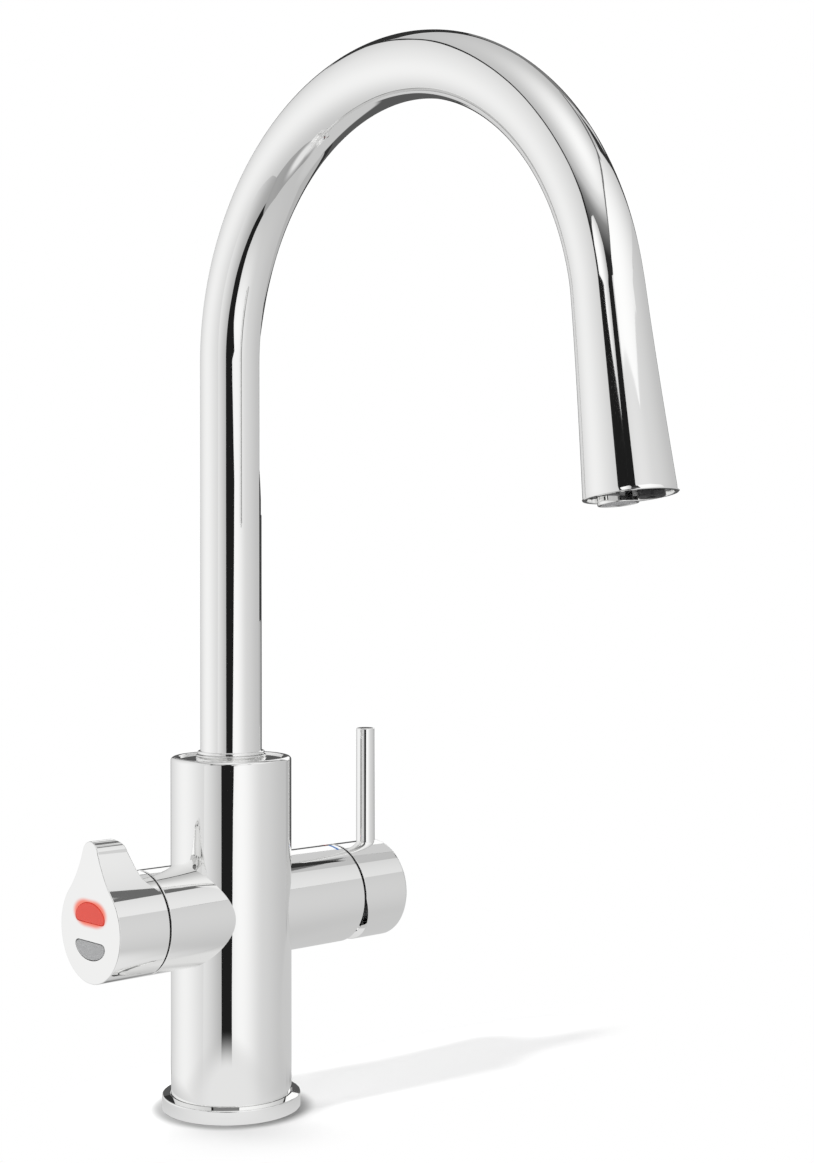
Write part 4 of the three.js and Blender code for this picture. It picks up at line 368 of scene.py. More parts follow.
def rounded(corners, segments=7, guard=0.06):
    """A profile in mm from (r, z, round) corners: each corner becomes an arc, with a guard
    point just beyond each end of the arc so that flat faces stay flat when shaded smooth."""
    count = len(corners)
    points = []
    for i, corner in enumerate(corners):
        radius = corner[2] if len(corner) > 2 else 0.0
        here = np.array(corner[:2], float)
        before = np.array(corners[i - 1][:2], float)
        after = np.array(corners[(i + 1) % count][:2], float)
        if radius <= 0.0:
            points.append(here)
            continue
        to_before = (before - here) / np.linalg.norm(before - here)
        to_after = (after - here) / np.linalg.norm(after - here)
        half = math.acos(float(np.clip(to_before @ to_after, -1, 1))) / 2
        reach = radius / math.tan(half)
        bisector = (to_before + to_after) / np.linalg.norm(to_before + to_after)
        centre = here + bisector * radius / math.sin(half)
        start = here + to_before * reach
        end = here + to_after * reach
        a0 = math.atan2(*(start - centre)[::-1])
        a1 = math.atan2(*(end - centre)[::-1])
        turn = (a1 - a0 + math.pi) % (2 * math.pi) - math.pi
        points.append(start + to_before * guard)
        for k in range(segments + 1):
            a = a0 + turn * k / segments
            points.append(centre + radius * np.array([math.cos(a), math.sin(a)]))
        points.append(end + to_after * guard)
    return np.array(points)


def sweep_grid(rings, close_rings):
    """Faces of quads over rings of points (shape [ring, side, 3]); each ring is closed."""
    n, m = rings.shape[:2]
    starts = [(i * m, (i + 1) % n * m) for i in range(n if close_rings else n - 1)]
    return [(a + j, a + (j + 1) % m, b + (j + 1) % m, b + j) for a, b in starts for j in range(m)]


def outward(verts, faces):
    """The same faces, turned so that the closed surface encloses a positive volume."""
    triangles = np.array([(f[0], f[k], f[k + 1]) for f in faces for k in range(1, len(f) - 1)])
    a, b, c = verts[triangles.T]
    return faces if np.sum(a * np.cross(b, c)) > 0 else [tuple(reversed(f)) for f in faces]


def ring_shell(rings):
    """A closed (points, faces) shell over rings that run on into the first one."""
    verts = rings.reshape(-1, 3)
    return verts, outward(verts, sweep_grid(rings, True))


def joined(parts):
    """One list of points and one of faces from several (points, faces) shells."""
    verts, faces, offset = [], [], 0
    for v, f in parts:
        verts.append(v)
        faces += [tuple(i + offset for i in face) for face in f]
        offset += len(v)
    return np.concatenate(verts), faces


def revolved(profile, sides=160, axis="Z", at=(0.0, 0.0, 0.0), shift=None):
    """Points in mm and faces of a profile of (radius, distance) turned about an axis through at.
    A profile that starts and ends on the axis is closed there by two fans; any other one
    closes on itself. shift(angles, radius, distance) moves the points along the axis."""
    angles = turned(sides)
    has_poles = profile[0][0] == 0.0 and profile[-1][0] == 0.0
    middle = profile[1:-1] if has_poles else profile
    rings = np.zeros((len(middle), sides, 3))
    for i, (r, d) in enumerate(middle):
        along = np.full(sides, float(d)) if shift is None else d + shift(angles, r, d)
        a, b = r * np.cos(angles), r * np.sin(angles)
        rings[i] = np.stack([a, b, along] if axis == "Z" else [along, a, b], 1)
    verts = rings.reshape(-1, 3)
    faces = sweep_grid(rings, not has_poles)
    if has_poles:
        poles = [(0.0, 0.0, profile[0][1]), (0.0, 0.0, profile[-1][1])]
        if axis != "Z":
            poles = [(d, 0.0, 0.0) for _, _, d in poles]
        n, last = len(verts), (len(middle) - 1) * sides
        verts = np.concatenate([verts, np.array(poles)])
        faces += [(n, (j + 1) % sides, j) for j in range(sides)]
        faces += [(n + 1, last + j, last + (j + 1) % sides) for j in range(sides)]
    verts = verts + np.array(at)
    return verts, outward(verts, faces)


def dress(name, parts, material, nodes, body_name):
    """One piece of the visual model from shells in mm: it stands for its CAD nodes and rides their body."""
    verts, faces = joined(parts)
    obj = mesh_object(name, verts / 1000.0, faces, material)
    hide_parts(*nodes)
    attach(obj, body_name)
    return obj


# ---------------------------------------------------------------- Foot ring
# A low chrome ring, slightly crowned, with a groove for its seal underneath. Its profile is
# turned about the Z axis.
foot_profile = rounded([
    (22.6, 0.0), (24.2, 0.0), (24.2, 1.7), (26.8, 1.7), (26.8, 0.0), (28.7, 0.0, 0.25),
    (28.7, 5.7, 0.55), (25.3, 6.3, 0.15), (25.3, 3.7), (22.6, 3.7),
])
dress("foot_ring", [revolved(foot_profile, 192)], chrome, ["base_ring"], "housing")

# ---------------------------------------------------------------- Body
# A trunk with a rounded rim and a recess for the collar, and two arms on one cross axis.
# Each arm starts on the trunk's own surface: x = sqrt(R^2 - y^2) along its ring.
AXIS, TRUNK, ARM, SIDES = 82.0, 25.0, 21.0, 192
ON_AXIS = (0.0, 0.0, AXIS)
trunk_profile = rounded([
    (22.6, 4.0), (TRUNK, 4.0, 0.3), (TRUNK, 145.6, 1.5), (21.6, 145.6, 0.45), (21.6, 142.0), (18.8, 142.0),
    (18.8, 139.4), (22.6, 139.4),
], segments=9)


def arm_shell(end, direction, bore):
    """One arm along X: out along the skin from the trunk, round the rim and back inside."""
    y, z = np.cos(turned(SIDES)), np.sin(turned(SIDES))
    rings = []
    for r, d in rounded([(ARM, 0.0), (ARM, end, 0.35), (bore, end, 0.2), (bore, TRUNK + 1.0)], segments=6):
        along = np.full(SIDES, d)
        if d == 0.0:
            along = np.sqrt(TRUNK ** 2 - (ARM * y) ** 2) - 0.25
        rings.append(np.stack([direction * along, r * y, AXIS + r * z], 1))
    return ring_shell(np.stack(rings))


dress("body", [revolved(trunk_profile, SIDES), arm_shell(44.9, -1.0, 20.3), arm_shell(55.6, 1.0, 19.2)], chrome,
      ["body_shell"], "housing")

# ---------------------------------------------------------------- Collar
# The plate let into the body's top, with a short neck round the spout. Its profile is turned
# about the Z axis.
collar_profile = rounded([
    (13.0, 140.6), (18.5, 140.6), (18.5, 142.3), (21.3, 142.3), (21.3, 144.9, 0.5),
    (14.5, 144.9, 0.25), (14.5, 146.5, 0.35), (13.0, 146.5, 0.2),
])
dress("collar", [revolved(collar_profile)], chrome, ["top_collar"], "housing")

# ---------------------------------------------------------------- Spout
# The centre line is a straight rise, two arcs and a straight tail in the plane x = 0;
# the radius grows over the last 75 mm as R(w) = 12.7 + 3.4 w^1.3, w from 0 to 1.
START, RISE_TOP = 126.0, 308.5
TUBE, WALL, FLARE, FLARE_LENGTH, LIP, INNER_LIP = 12.7, 1.5, 3.4, 75.0, 0.35, 0.2
BENDS = ((101.8, math.radians(116.7)), (111.3, math.radians(55.2)))
LENGTH = RISE_TOP - START + sum(r * a for r, a in BENDS) + 68.7


def spout_frame(distance):
    """Centre (y, z) and heading from straight up at a distance along the spout."""
    y, z, heading = 0.0, START, 0.0
    step = min(distance, RISE_TOP - START)
    z += step
    left = distance - step
    for radius, angle in BENDS:
        turn = min(max(left, 0.0) / radius, angle)
        y -= radius * (math.cos(heading) - math.cos(heading + turn))
        z += radius * (math.sin(heading + turn) - math.sin(heading))
        heading += turn
        left -= radius * angle
    if left > 0:
        y -= math.sin(heading) * left
        z += math.cos(heading) * left
    return y, z, heading


def spout_radius(distance):
    """Outer radius at a distance along the spout."""
    w = min(max((distance - LENGTH + FLARE_LENGTH) / FLARE_LENGTH, 0.0), 1.0)
    return TUBE + FLARE * w ** 1.3


def spout_ring(distance, radius, sides=128):
    """A ring of points square to the centre line."""
    y, z, heading = spout_frame(distance)
    a = turned(sides)
    side, out = radius * np.sin(a), radius * np.cos(a)
    return np.stack([side, y + out * math.cos(heading), z + out * math.sin(heading)], 1)


outer_steps = np.concatenate([
    np.linspace(0.0, RISE_TOP - START, 24, endpoint=False),
    np.linspace(RISE_TOP - START, LENGTH - 76.0, 220, endpoint=False),
    np.linspace(LENGTH - 76.0, LENGTH - 0.45, 60),
])
end_radius = spout_radius(LENGTH)
spout_rings = [spout_ring(d, spout_radius(d)) for d in outer_steps]
for a in np.linspace(0.0, math.pi / 2, 6):
    spout_rings.append(spout_ring(LENGTH - LIP + LIP * math.sin(a), end_radius - LIP * (1 - math.cos(a))))
spout_rings.append(spout_ring(LENGTH, end_radius - LIP - 0.06))
for a in np.linspace(0.0, math.pi / 2, 4):
    spout_rings.append(spout_ring(LENGTH - INNER_LIP + INNER_LIP * math.cos(a),
                                  end_radius - WALL + INNER_LIP * (1 - math.sin(a))))
for d in np.concatenate([[LENGTH - 0.3, LENGTH - 10.0, LENGTH - 40.0], np.linspace(LENGTH - 80.0, 0.0, 44)]):
    spout_rings.append(spout_ring(d, spout_radius(d) - WALL))
dress("spout", [ring_shell(np.stack(spout_rings))], chrome, ["spout_tube"], "spout")
trim_profile = rounded([(12.85, 146.8), (13.85, 146.8, 0.2), (13.85, 148.0, 0.45), (12.85, 148.0, 0.1)])
dress("trim_ring", [revolved(trim_profile)], chrome, ["spout_trim_ring"], "spout")

# ---------------------------------------------------------------- Outlet
# A dark insert inside the flared end carries the bright aerator with its woven screen and,
# behind it, the black boiling nozzle. Local z runs out of the end, local y away from the body.
end_y, end_z, end_heading = spout_frame(LENGTH)
OUT_Y = np.array([0.0, math.cos(end_heading), math.sin(end_heading)])
OUT_Z = np.array([0.0, -math.sin(end_heading), math.cos(end_heading)])


def at_outlet(shell, y):
    """A shell made about the local z axis, set off sideways and moved to the spout's end."""
    v, faces = shell
    moved = (np.array([0.0, end_y, end_z]) + v[:, :1] * np.array([1.0, 0.0, 0.0])
             + (v[:, 1:2] + y) * OUT_Y + v[:, 2:3] * OUT_Z)
    return moved, outward(moved, faces)


def filled(loops):
    """Anticlockwise triangles over flat loops, the first one outside; indices follow the loops in order."""
    flat = np.concatenate(loops)
    faces = []
    for a, b, c in tessellate_polygon([[Vector((p[0], p[1], 0.0)) for p in loop] for loop in loops]):
        area = np.cross(flat[b] - flat[a], flat[c] - flat[a])
        faces.append((a, b, c) if area > 0 else (a, c, b))
    return faces


def plate(outer, holes, low, high):
    """A flat plate between two heights with straight holes; outlines run anticlockwise."""
    loops = [outer] + holes
    flat = np.concatenate(loops)
    n = len(flat)
    verts = np.concatenate([np.column_stack([flat, np.full(n, height)]) for height in (low, high)])
    faces = []
    for up in filled(loops):
        faces += [tuple(i + n for i in up), tuple(reversed(up))]
    start = 0
    for index, loop in enumerate(loops):
        m = len(loop)
        for i in range(m):
            a, b = start + i, start + (i + 1) % m
            quad = (a, b, b + n, a + n)
            faces.append(tuple(reversed(quad)) if index > 0 else quad)
        start += m
    return verts, faces


def circle(radius, x=0.0, y=0.0, sides=96):
    """Points round a circle."""
    a = turned(sides)
    return np.column_stack([x + radius * np.cos(a), y + radius * np.sin(a)])


def detail_group(name, stretch):
    """Fine detail in object space: noise stretched by an axis scale drives colour, roughness and relief."""
    group, given, result = new_group(
        name, {"Color": (0.5, 0.5, 0.5, 1.0), "Roughness": 0.4, "Scale": 400.0, "Spread": 0.1, "Depth": 0.00002},
        ("Color", "Roughness", "Normal"))
    place = add_node(group, "TexCoord").outputs["Object"]
    mapped = add_node(group, "Mapping", {"Vector": place, "Scale": stretch}).outputs["Vector"]
    fine = noise(group, mapped, given["Scale"], 4.0)
    soft = calc(group, "MULTIPLY", noise(group, place, 35.0, 3.0), 0.4)
    centred = remap(group, calc(group, "MULTIPLY_ADD", fine, 0.6, soft), 0.3, 0.7, -1.0, 1.0)
    vary = calc(group, "MULTIPLY_ADD", centred, given["Spread"], 1.0)
    tinted = add_node(group, "VectorMath", {0: given["Color"], "Scale": vary}, operation="SCALE")
    relief = add_node(group, "Bump", {"Strength": 0.6, "Distance": given["Depth"], "Height": fine})
    feed(group, result, {"Color": tinted.outputs["Vector"], "Normal": relief.outputs["Normal"],
                         "Roughness": calc(group, "MULTIPLY", given["Roughness"], vary)})
    return group


grain = detail_group("grain", (1.0, 1.0, 1.0))
lathe = detail_group("lathe_marks", (0.12, 0.12, 3.0))


def surface_material(name, color, rough, group=grain, metallic=0.0, scale=400.0, spread=0.12, depth=0.000006):
    """A dull or metal surface: base colour, roughness and relief vary through the shared group."""
    sockets = {"Color": (*color, 1.0), "Roughness": rough, "Scale": scale, "Spread": spread, "Depth": depth}
    return principled(name, group, sockets, {"Metallic": metallic})


outlet_grey = surface_material("outlet_grey", (0.030, 0.031, 0.033), 0.42, spread=0.25)
nozzle_black = surface_material("nozzle_black", (0.012, 0.012, 0.013), 0.34, spread=0.3)
screen_steel = surface_material("screen_steel", (0.52, 0.52, 0.53), 0.32, metallic=1.0, spread=0.2)

AERATOR_Y, NOZZLE_Y = -5.6, 8.9
insert_front, insert_back = 14.06, 13.37
insert = plate(circle(insert_front, sides=128), [circle(7.3, 0, AERATOR_Y), circle(4.1, 0, NOZZLE_Y)], -11.7, -1.6)
insert[0][:128, :2] *= insert_back / insert_front
floor_plate = plate(circle(insert_back - 0.02, sides=128), [circle(4.5, 0, AERATOR_Y), circle(4.1, 0, NOZZLE_Y)],
                    -13.6, -11.7)
dress("outlet_insert", [at_outlet(insert, 0.0), at_outlet(floor_plate, 0.0)], outlet_grey, ["outlet_insert"], "spout")
housing_profile = rounded([(4.5, -10.0), (7.0, -10.0), (7.0, 1.7, 0.3), (6.3, 1.7, 0.15), (6.3, -8.0), (4.5, -8.0)])
dress("aerator_housing", [at_outlet(revolved(housing_profile), AERATOR_Y)], chrome, ["aerator_housing"], "spout")
nozzle_profile = rounded([(1.9, -7.3), (3.3, -7.3), (3.3, -14.5), (3.8, -14.5), (3.8, -1.3), (4.6, -1.3),
                          (4.6, 1.7, 0.35), (1.9, 1.7, 0.35)])
dress("boiling_nozzle", [at_outlet(revolved(nozzle_profile), NOZZLE_Y)], nozzle_black, ["boiling_nozzle"], "spout")


def bar_shell(rings):
    """A (points, faces) shell over a row of rings, with one flat face at each end."""
    verts, sides = rings.reshape(-1, 3), rings.shape[1]
    last = len(verts) - sides
    ends = [tuple(range(sides))[::-1], tuple(last + i for i in range(sides))]
    return verts, outward(verts, sweep_grid(rings, False) + ends)


def woven_screen(radius, pitch, wire, middle):
    """Wires over and under each other, z = middle + wire * sin(pi t / pitch), and a rim that holds them."""
    shells = [revolved(rounded([(radius - 0.45, middle - 0.28), (radius, middle - 0.28), (radius, middle + 0.28, 0.1),
                                (radius - 0.45, middle + 0.28, 0.1)], segments=3), 96)]
    count = int((radius - 0.5) / pitch)
    for way in (0, 1):
        for k in range(-count, count + 1):
            across = k * pitch
            half = math.sqrt((radius - 0.2) ** 2 - across ** 2)
            t = np.linspace(-half, half, max(6, int(half / pitch * 8)))
            wave = wire * np.cos(math.pi * t / pitch) * (1 if (k + way) % 2 else -1)
            rings = np.zeros((len(t), 6, 3))
            for j, a in enumerate(turned(6)):
                rings[:, j, way] = t
                rings[:, j, 1 - way] = across + wire * math.cos(a)
                rings[:, j, 2] = middle + wave + wire * math.sin(a)
            shells.append(bar_shell(rings))
    return shells


screen = [at_outlet(shell, AERATOR_Y) for shell in woven_screen(6.0, 0.62, 0.13, 1.0)]
dress("aerator_screen", screen, screen_steel, ["aerator_mesh"], "spout")

# ---------------------------------------------------------------- Boil lever
# A drop: a circle R 21 and a tip R 5.5 at 29.4 above it, joined by hollow flanks R 48. The
# finger's back slopes to the barrel, which runs on to the seam; two button holes in the face.
LEVER_FACE, LEVER_SEAM, CAVITY_FLOOR, CAVITY, EDGE, SEAM_EDGE = -69.0, -45.7, -65.8, 17.8, 0.4, 0.3
TIP, TIP_V, FLANK, BLEND_U, BLEND_V, LOW, HIGH = 5.5, 29.4, 48.0, 50.52, 46.99, 42.93, 19.2


def drop(inset):
    """The drop's outline, anticlockwise from the left tangent, as (n, 2) points (y, z from the axis)."""
    def arc(cu, cv, radius, start, end, count):
        a = np.radians(np.linspace(start, end, count, endpoint=False))
        return np.column_stack([cu + radius * np.cos(a), cv + radius * np.sin(a)])
    return np.concatenate([
        arc(0, 0, ARM - inset, 180.0 - LOW, 360.0 + LOW, 170),
        arc(BLEND_U, BLEND_V, FLANK + inset, 180.0 + LOW, 180.0 + HIGH, 28),
        arc(0, TIP_V, TIP - inset, HIGH, 180.0 - HIGH, 56),
        arc(-BLEND_U, BLEND_V, FLANK + inset, -HIGH, -LOW, 28),
    ])


def smooth_curve(t, knots, values):
    """A smooth curve through points: a cubic on each span with slopes taken from its neighbours."""
    k, f = np.array(knots, float), np.array(values, float)
    slopes = np.gradient(f, k)
    t = np.clip(t, k[0], k[-1])
    i = np.clip(np.searchsorted(k, t, side="right") - 1, 0, len(k) - 2)
    h = k[i + 1] - k[i]
    s = (t - k[i]) / h
    return ((2 * s ** 3 - 3 * s ** 2 + 1) * f[i] + (s ** 3 - 2 * s ** 2 + s) * h * slopes[i]
            + (3 * s ** 2 - 2 * s ** 3) * f[i + 1] + (s ** 3 - s ** 2) * h * slopes[i + 1])


def finger_back(v):
    """Distance along X of the finger's back at a height above the axis: sloped, rounded at the top."""
    heights = (13.0, 14.3, 16.2, 18.0, 20.0, 22.6, 27.0, 32.0, 35.0)
    places = (-45.2, -46.4, -48.4, -50.1, -51.5, -52.6, -53.9, -55.4, -56.3)
    top = np.clip((v - 31.9) / 3.05, 0.0, 1.0)
    return smooth_curve(v, heights, places) - 2.4 * (1.0 - np.sqrt(1.0 - top ** 2))


def button_outline(side, grow, count=12):
    """A straight inside edge, soft corners and an arched outside edge, as (n, 2) points (y, z).
    The lower button sits further from the axis than the upper one and is a little flatter."""
    half, corner = 10.15 + grow, 3.0
    flat, top = (3.1 - grow, 10.8 + grow) if side > 0 else (4.5 - grow, 11.5 + grow)
    base = flat + 2.2
    s = np.linspace(0.0, 1.0, count, endpoint=False)[:, None]
    start, turn, end = np.array([half - corner, flat]), np.array([half, flat]), np.array([half, base])
    right = (1 - s) ** 2 * start + 2 * s * (1 - s) * turn + s ** 2 * end
    a = np.linspace(0.0, math.pi, 6 * count, endpoint=False)
    arch = np.column_stack([half * np.cos(a), base + (top - base) * np.sin(a) ** 1.15])
    mirror = np.array([-1.0, 1.0])
    left = (1 - s) ** 2 * end * mirror + 2 * s * (1 - s) * turn * mirror + s ** 2 * start * mirror
    edge = np.column_stack([np.linspace(-half + corner, half - corner, count, endpoint=False), np.full(count, flat)])
    outline = np.concatenate([right, arch, left, edge])
    return outline if side > 0 else outline[::-1] * np.array([1.0, -1.0])


def capped(loops, x, facing):
    """Triangles that close flat loops (the first one outside) at x; indices follow the loops in order."""
    flat = np.concatenate(loops)
    faces = [(a, b, c) if facing > 0 else (a, c, b) for a, b, c in filled(loops)]
    return np.column_stack([np.full(len(flat), x), flat]), faces


def lever_shell():
    """The lever's closed surface: rings along the outline from the face round to the cavity's floor."""
    outline = drop(0.0)
    reach = np.hypot(*outline.T)
    over = np.clip(reach - ARM, 0.0, None)
    soft = np.minimum(0.7, 0.45 * over)
    rows = []

    def row(points, along):
        rows.append(np.column_stack([np.broadcast_to(along, (len(points),)), points]))

    row(drop(EDGE + 0.06), LEVER_FACE)
    for a in np.radians(np.linspace(0.0, 90.0, 6)):
        row(drop(EDGE * (1 - math.sin(a))), LEVER_FACE + EDGE * (1 - math.cos(a)))
    row(outline, LEVER_FACE + EDGE + 0.06)
    normal = outline - drop(1.0)
    normal /= np.linalg.norm(normal, axis=1)[:, None]
    edge = finger_back(outline[:, 1])
    barrel = over < 1e-6
    edge = np.where(barrel, finger_back(np.full(len(outline), ARM * math.sin(math.radians(LOW)))), edge)
    row(outline, LEVER_FACE + 6.0)
    row(outline, edge - soft - 0.06)
    for a in np.radians(np.linspace(0.0, 90.0, 6)):
        row(outline - normal * (soft * (1 - math.cos(a)))[:, None], edge - soft * (1 - math.sin(a)))
    top = outline - normal * soft[:, None]
    foot_v = np.where(barrel, top[:, 1], np.sqrt(np.clip(ARM ** 2 - top[:, 0] ** 2, 0.0, None)))
    foot_v = np.minimum(foot_v, top[:, 1])
    turn = np.degrees(np.arctan2(outline[:, 1], np.abs(outline[:, 0])))
    away = np.clip((LOW - turn) / 12.0, 0.0, 1.0)
    for t in np.linspace(0.0, 1.0, 19)[1:]:
        v = top[:, 1] + (foot_v - top[:, 1]) * t
        x = np.where(barrel, edge + 2.4 * away * t, finger_back(v))
        row(np.column_stack([top[:, 0], v]), np.minimum(x, LEVER_SEAM - 0.5))
    foot = rows[-1][:, 1:]
    ring = foot / np.hypot(*foot.T)[:, None]
    row(ring * ARM, LEVER_SEAM - SEAM_EDGE - 0.06)
    for a in np.radians(np.linspace(0.0, 90.0, 5)):
        row(ring * (ARM - SEAM_EDGE * (1 - math.cos(a))), LEVER_SEAM - SEAM_EDGE * (1 - math.sin(a)))
    row(ring * 20.6, LEVER_SEAM)
    row(ring * CAVITY, LEVER_SEAM)
    row(ring * CAVITY, CAVITY_FLOOR)
    grid = np.stack(rows)
    verts = grid.reshape(-1, 3)
    faces = sweep_grid(grid, False)
    holes = [button_outline(1, 0.3), button_outline(-1, 0.3)]
    count, walls = grid.shape[1], sum(len(h) for h in holes)
    parts = [verts]
    ends = ((LEVER_FACE, 0, grid[0, :, 1:], -1), (CAVITY_FLOOR, len(verts) - count, grid[-1, :, 1:], 1))
    for x, ring_start, loop, facing in ends:
        cap_verts, cap_faces = capped([loop] + holes, x, facing)
        start = sum(len(p) for p in parts)
        parts.append(cap_verts[count:])
        faces += [tuple(ring_start + i if i < count else start + i - count for i in f) for f in cap_faces]
    base = len(verts)
    offset = 0
    for hole in holes:
        for i in range(len(hole)):
            a, b = base + offset + i, base + offset + (i + 1) % len(hole)
            faces.append((a, b, b + walls, a + walls))
        offset += len(hole)
    return np.concatenate(parts), faces


def reseam(obj):
    """Joins doubled points along the caps' seams, turns every face outwards and shades it again."""
    shell = bmesh.new()
    shell.from_mesh(obj.data)
    bmesh.ops.remove_doubles(shell, verts=shell.verts, dist=2e-6)
    bmesh.ops.recalc_face_normals(shell, faces=shell.faces)
    shell.to_mesh(obj.data)
    shell.free()
    obj.data.shade_smooth()
    obj.data.set_sharp_from_angle(angle=SHARP)


lever_chrome = chrome_material("chrome_lever_painted_glow")
lever_verts, lever_faces = lever_shell()
lever = mesh_object("boil_lever", (lever_verts + np.array(ON_AXIS)) / 1000.0, lever_faces, lever_chrome)
reseam(lever)
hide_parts("boil_lever")
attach(lever, "boil_lever")

# Painted red glow: round the lit upper button, the lever's chrome face takes a red base colour that fades out over a
# few millimetres, standing in for the lamp's light.
HALO_CENTRE, HALO_CORE, PAINTED_GLOW_RED = (0.0, 0.0, (AXIS + 6.7) / 1000.0), 0.0030, (1.0, 0.22, 0.15, 1.0)
halo_tree = lever_chrome.node_tree
halo_place = add_node(halo_tree, "TexCoord").outputs["Object"]
halo_side = vector_calc(halo_tree, "ABSOLUTE", vector_calc(halo_tree, "SUBTRACT", halo_place, HALO_CENTRE))
halo_core = vector_calc(halo_tree, "SUBTRACT", halo_side, (1.0, HALO_CORE, 0.0))
halo_flat = vector_calc(halo_tree, "MULTIPLY", vector_calc(halo_tree, "MAXIMUM", halo_core), (1.0, 1.0, 1.6))
halo_fall = remap(halo_tree, vector_calc(halo_tree, "LENGTH", halo_flat), 0.0100, 0.0066, 0.0, 0.95, "SMOOTHSTEP")
halo_x = add_node(halo_tree, "SeparateXYZ", {0: halo_place}).outputs["X"]
painted_glow_mask = calc(halo_tree, "MULTIPLY", halo_fall, calc(halo_tree, "LESS_THAN", halo_x, (LEVER_FACE + 0.05) / 1000.0))
painted_glow_mix = add_node(halo_tree, "Mix", {"Factor": painted_glow_mask, "A": CHROME_TINT, "B": PAINTED_GLOW_RED}, data_type="RGBA")
feed(halo_tree, halo_tree.nodes["Principled BSDF"], {"Base Color": painted_glow_mix.outputs["Result"]})

# ---------------------------------------------------------------- Buttons
# Two arched push buttons that stand 0.2 mm proud of the face, each with a retaining flange
# and a stem behind. The upper one glows red from its lamp; the lower one is plain grey.
BUTTON_FACE, BEVEL = -69.2, 0.3


def outline_shell(levels):
    """A closed solid from (x, outline) levels of equal length, with flat ends."""
    grid = np.stack([np.column_stack([np.full(len(o), x), o]) for x, o in levels])
    verts = grid.reshape(-1, 3)
    faces = sweep_grid(grid, False)
    count = grid.shape[1]
    last = (len(levels) - 1) * count
    _, front = capped([levels[0][1]], 0.0, -1)
    _, back = capped([levels[-1][1]], 0.0, 1)
    faces += front + [tuple(last + i for i in f) for f in back]
    return verts, outward(verts, faces)


def button(side):
    """Face, flange and stem of one button; side is 1 above and -1 below."""
    levels = [(BUTTON_FACE, button_outline(side, -0.60)), (BUTTON_FACE, button_outline(side, -0.42))]
    for a in np.radians(np.linspace(15.0, 90.0, 6)):
        levels.append((BUTTON_FACE + BEVEL * (1 - math.cos(a)), button_outline(side, -BEVEL * (1 - math.sin(a)))))
    levels += [(-68.7, button_outline(side, 0.0)), (-65.5, button_outline(side, 0.0)),
               (-65.5, button_outline(side, 0.8)), (-64.0, button_outline(side, 0.8))]
    stem = rounded([(0.0, -64.1), (2.6, -64.1), (2.6, -61.7, 0.2), (0.0, -61.7)])
    shells = [outline_shell(levels), revolved(stem, 48, "X", (0.0, 0.0, side * 6.95))]
    return [(v + np.array(ON_AXIS), f) for v, f in shells]


button_red = surface_material("button_red", (0.20, 0.012, 0.006), 0.3, spread=0.05, depth=0.000001)
feed(button_red.node_tree, button_red.node_tree.nodes["Principled BSDF"],
     {"Emission Color": (1.0, 0.075, 0.040, 1.0), "Emission Strength": 0.42})
button_grey = surface_material("button_grey", (0.25, 0.252, 0.255), 0.42, spread=0.04, depth=0.000001)
reseam(dress("select_button", button(1), button_red, ["select_button"], "select_button"))
reseam(dress("safety_button", button(-1), button_grey, ["safety_button"], "safety_button"))

# ---------------------------------------------------------------- Lever gasket
# The black ring in the arm's rebate that shows as the dark seam behind the lever. Its profile
# is turned about the arms' axis.
gasket_rubber = surface_material("gasket_rubber", (0.010, 0.010, 0.010), 0.55, spread=0.3)
gasket_profile = rounded([(17.8, 44.7), (20.0, 44.7, 0.1), (20.0, 45.4, 0.15), (17.8, 45.4, 0.15)],
                         segments=4, guard=0.03)
dress("lever_gasket", [revolved([(r, -d) for r, d in gasket_profile], 160, "X", ON_AXIS)], gasket_rubber,
      ["lever_gasket"], "housing")

# ---------------------------------------------------------------- Mixer knob and pin
# A cap R 21 with a rounded face, its back bevelled by 16 degrees below the axis so that it can tilt,
# and a tapered pin screwed into its top. Behind it the dark shroud shows in the gap.
KNOB_BEVEL = math.tan(math.radians(16.0))


def knob_bevel(angles, radius, distance):
    """Moves the knob's back edge away from the arm below the axis: x grows by depth tan 16."""
    if distance > 58.0:
        return np.zeros(len(angles))
    return np.maximum(0.0, -radius * np.sin(angles)) * KNOB_BEVEL


knob_profile = rounded([(0.0, 66.0), (18.4, 66.0, 0.3), (18.4, 56.6, 0.15), (ARM, 56.6, 0.25), (ARM, 80.4, 1.2),
                        (0.0, 80.4)], segments=9)
dress("mixer_knob", [revolved(knob_profile, 192, "X", ON_AXIS, knob_bevel)], chrome, ["mixer_knob"],
      "mixer_handle")
pin_profile = rounded([(0.0, 12.0), (2.5, 12.0), (2.5, 20.5), (4.1, 20.5, 0.15), (4.0, 71.0, 0.7), (0.0, 71.0)])
dress("pin_lever", [revolved(pin_profile, 96, "Z", (74.2, 0.0, AXIS))], chrome, ["pin_lever"], "mixer_handle")
shroud_black = surface_material("shroud_black", (0.018, 0.018, 0.019), 0.5, spread=0.25)
shroud_profile = rounded([(12.2, 49.1), (18.9, 49.1), (18.9, 52.0, 0.3), (16.0, 54.2, 0.5), (12.2, 54.2, 0.3)])
dress("mixer_shroud", [revolved(shroud_profile, 128, "X", ON_AXIS)], shroud_black, ["mixer_shroud"],
      "mixer_carrier")

# ---------------------------------------------------------------- Temperature marks
# Two short enamelled dashes round the right arm's top: blue towards the front, red behind.
# Each is a thin ring sector that stands 0.02 mm proud of the arm.


def mark(start, end):
    """A ring sector r 20.5 to 21.02 between two angles from the top (positive towards -Y)."""
    angles = np.radians(np.linspace(start, end, 24))
    section = [(20.5, 51.9), (ARM, 51.9), (21.02, 51.95), (21.02, 53.35), (ARM, 53.4), (20.5, 53.4)]
    rings = np.stack([[(x, -r * math.sin(a), AXIS + r * math.cos(a)) for r, x in section] for a in angles])
    return bar_shell(rings)


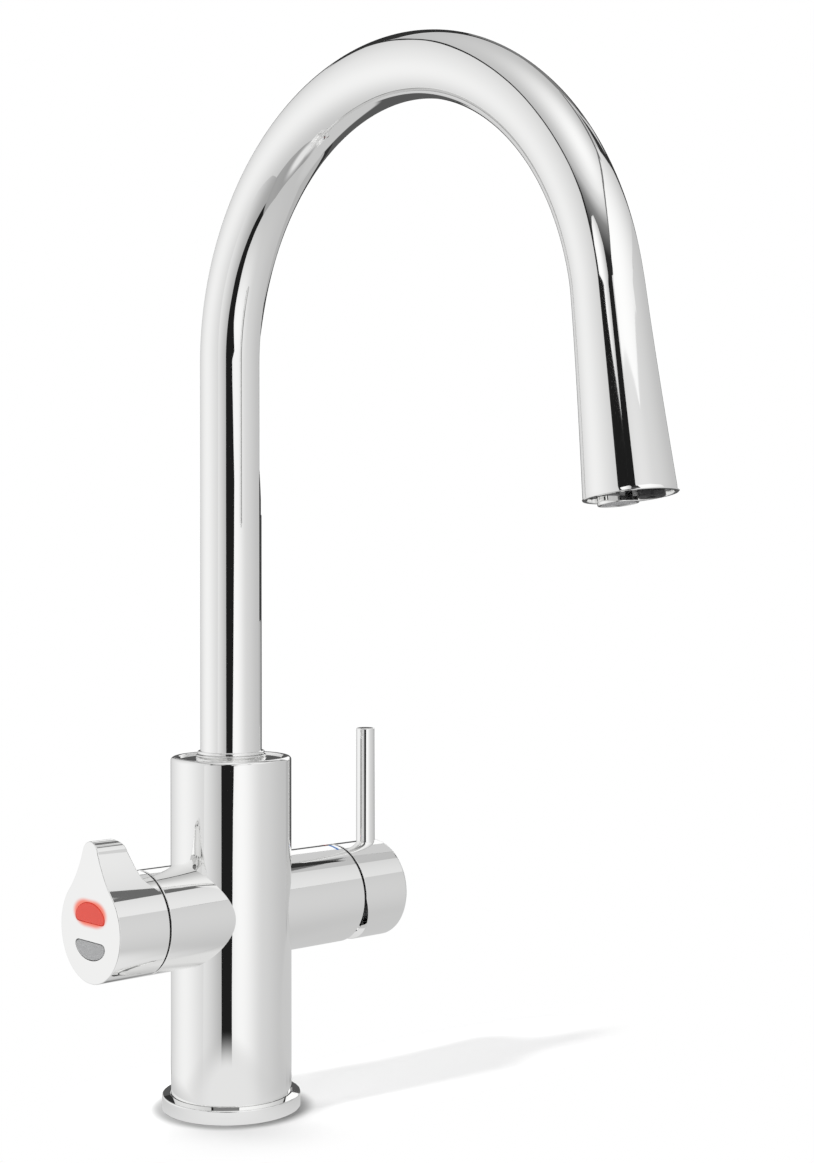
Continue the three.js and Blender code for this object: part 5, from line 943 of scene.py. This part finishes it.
mark_blue = surface_material("mark_blue", (0.02, 0.20, 0.62), 0.3, spread=0.1)
mark_red = surface_material("mark_red", (0.62, 0.03, 0.03), 0.3, spread=0.1)
dress("cold_mark", [mark(1.5, 19.0)], mark_blue, ["cold_mark"], "housing")
dress("hot_mark", [mark(-19.0, -1.5)], mark_red, ["hot_mark"], "housing")

# ---------------------------------------------------------------- Underside
# What shows when the tap is lifted off the worktop: the rubber seal in the ring's groove.
# Its profile is turned about the Z axis.
seal_rubber = surface_material("seal_rubber", (0.012, 0.012, 0.012), 0.6, spread=0.3)
seal_profile = rounded([(24.5, 0.0, 0.3), (26.5, 0.0, 0.3), (26.5, 1.4, 0.1), (24.5, 1.4, 0.1)])
dress("base_seal", [revolved(seal_profile, 160)], seal_rubber, ["base_seal"], "housing")

# ---------------------------------------------------------------- Inside pieces
# The working pieces keep their CAD form and take turned, drawn or moulded surfaces, each
# with its own colour, roughness and fine relief.
inside_looks = {
    surface_material("turned_brass", (0.72, 0.50, 0.22), 0.24, lathe, 1.0): (
        "base_plate", "boiling_inlet", "cold_inlet", "hot_inlet", "front_stud_socket", "rear_stud_socket",
        "inner_manifold", "boil_valve_body", "cartridge_nut", "spout_foot", "lever_hub"),
    surface_material("drawn_copper", (0.80, 0.38, 0.23), 0.28, lathe, 1.0, spread=0.18): (
        "boiling_riser", "cold_riser", "hot_riser", "boiling_tube"),
    surface_material("turned_steel", (0.56, 0.56, 0.57), 0.26, lathe, 1.0): (
        "boil_valve_spindle", "cartridge_stem", "pivot_pin", "grub_screw", "lever_screw", "swivel_stop_screw",
        "spout_clip", "lever_return_spring"),
    surface_material("black_rubber", (0.014, 0.014, 0.014), 0.6, spread=0.3): (
        "aerator_seal", "foot_o_ring", "lower_spout_seal", "upper_spout_seal", "cable_grommet"),
    surface_material("black_moulding", (0.020, 0.020, 0.022), 0.42, spread=0.2): (
        "cartridge_housing", "cartridge_turret", "disc_carrier"),
    surface_material("white_moulding", (0.72, 0.71, 0.68), 0.4, spread=0.06): (
        "swivel_bush", "lever_bearing", "flow_restrictor"),
    surface_material("sintered_ceramic", (0.80, 0.78, 0.74), 0.18, spread=0.05, scale=900.0): (
        "fixed_disc", "moving_disc"),
    surface_material("silicone", (0.60, 0.60, 0.58), 0.5, spread=0.08): ("safety_dome", "select_dome"),
    surface_material("board_green", (0.03, 0.16, 0.07), 0.35, spread=0.2, scale=900.0): ("button_board",),
    surface_material("lamp_red", (0.60, 0.02, 0.02), 0.15, spread=0.1): ("button_lamp",),
}
for look, names in inside_looks.items():
    for name in names:
        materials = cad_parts[name].data.materials
        materials.clear()
        materials.append(look)
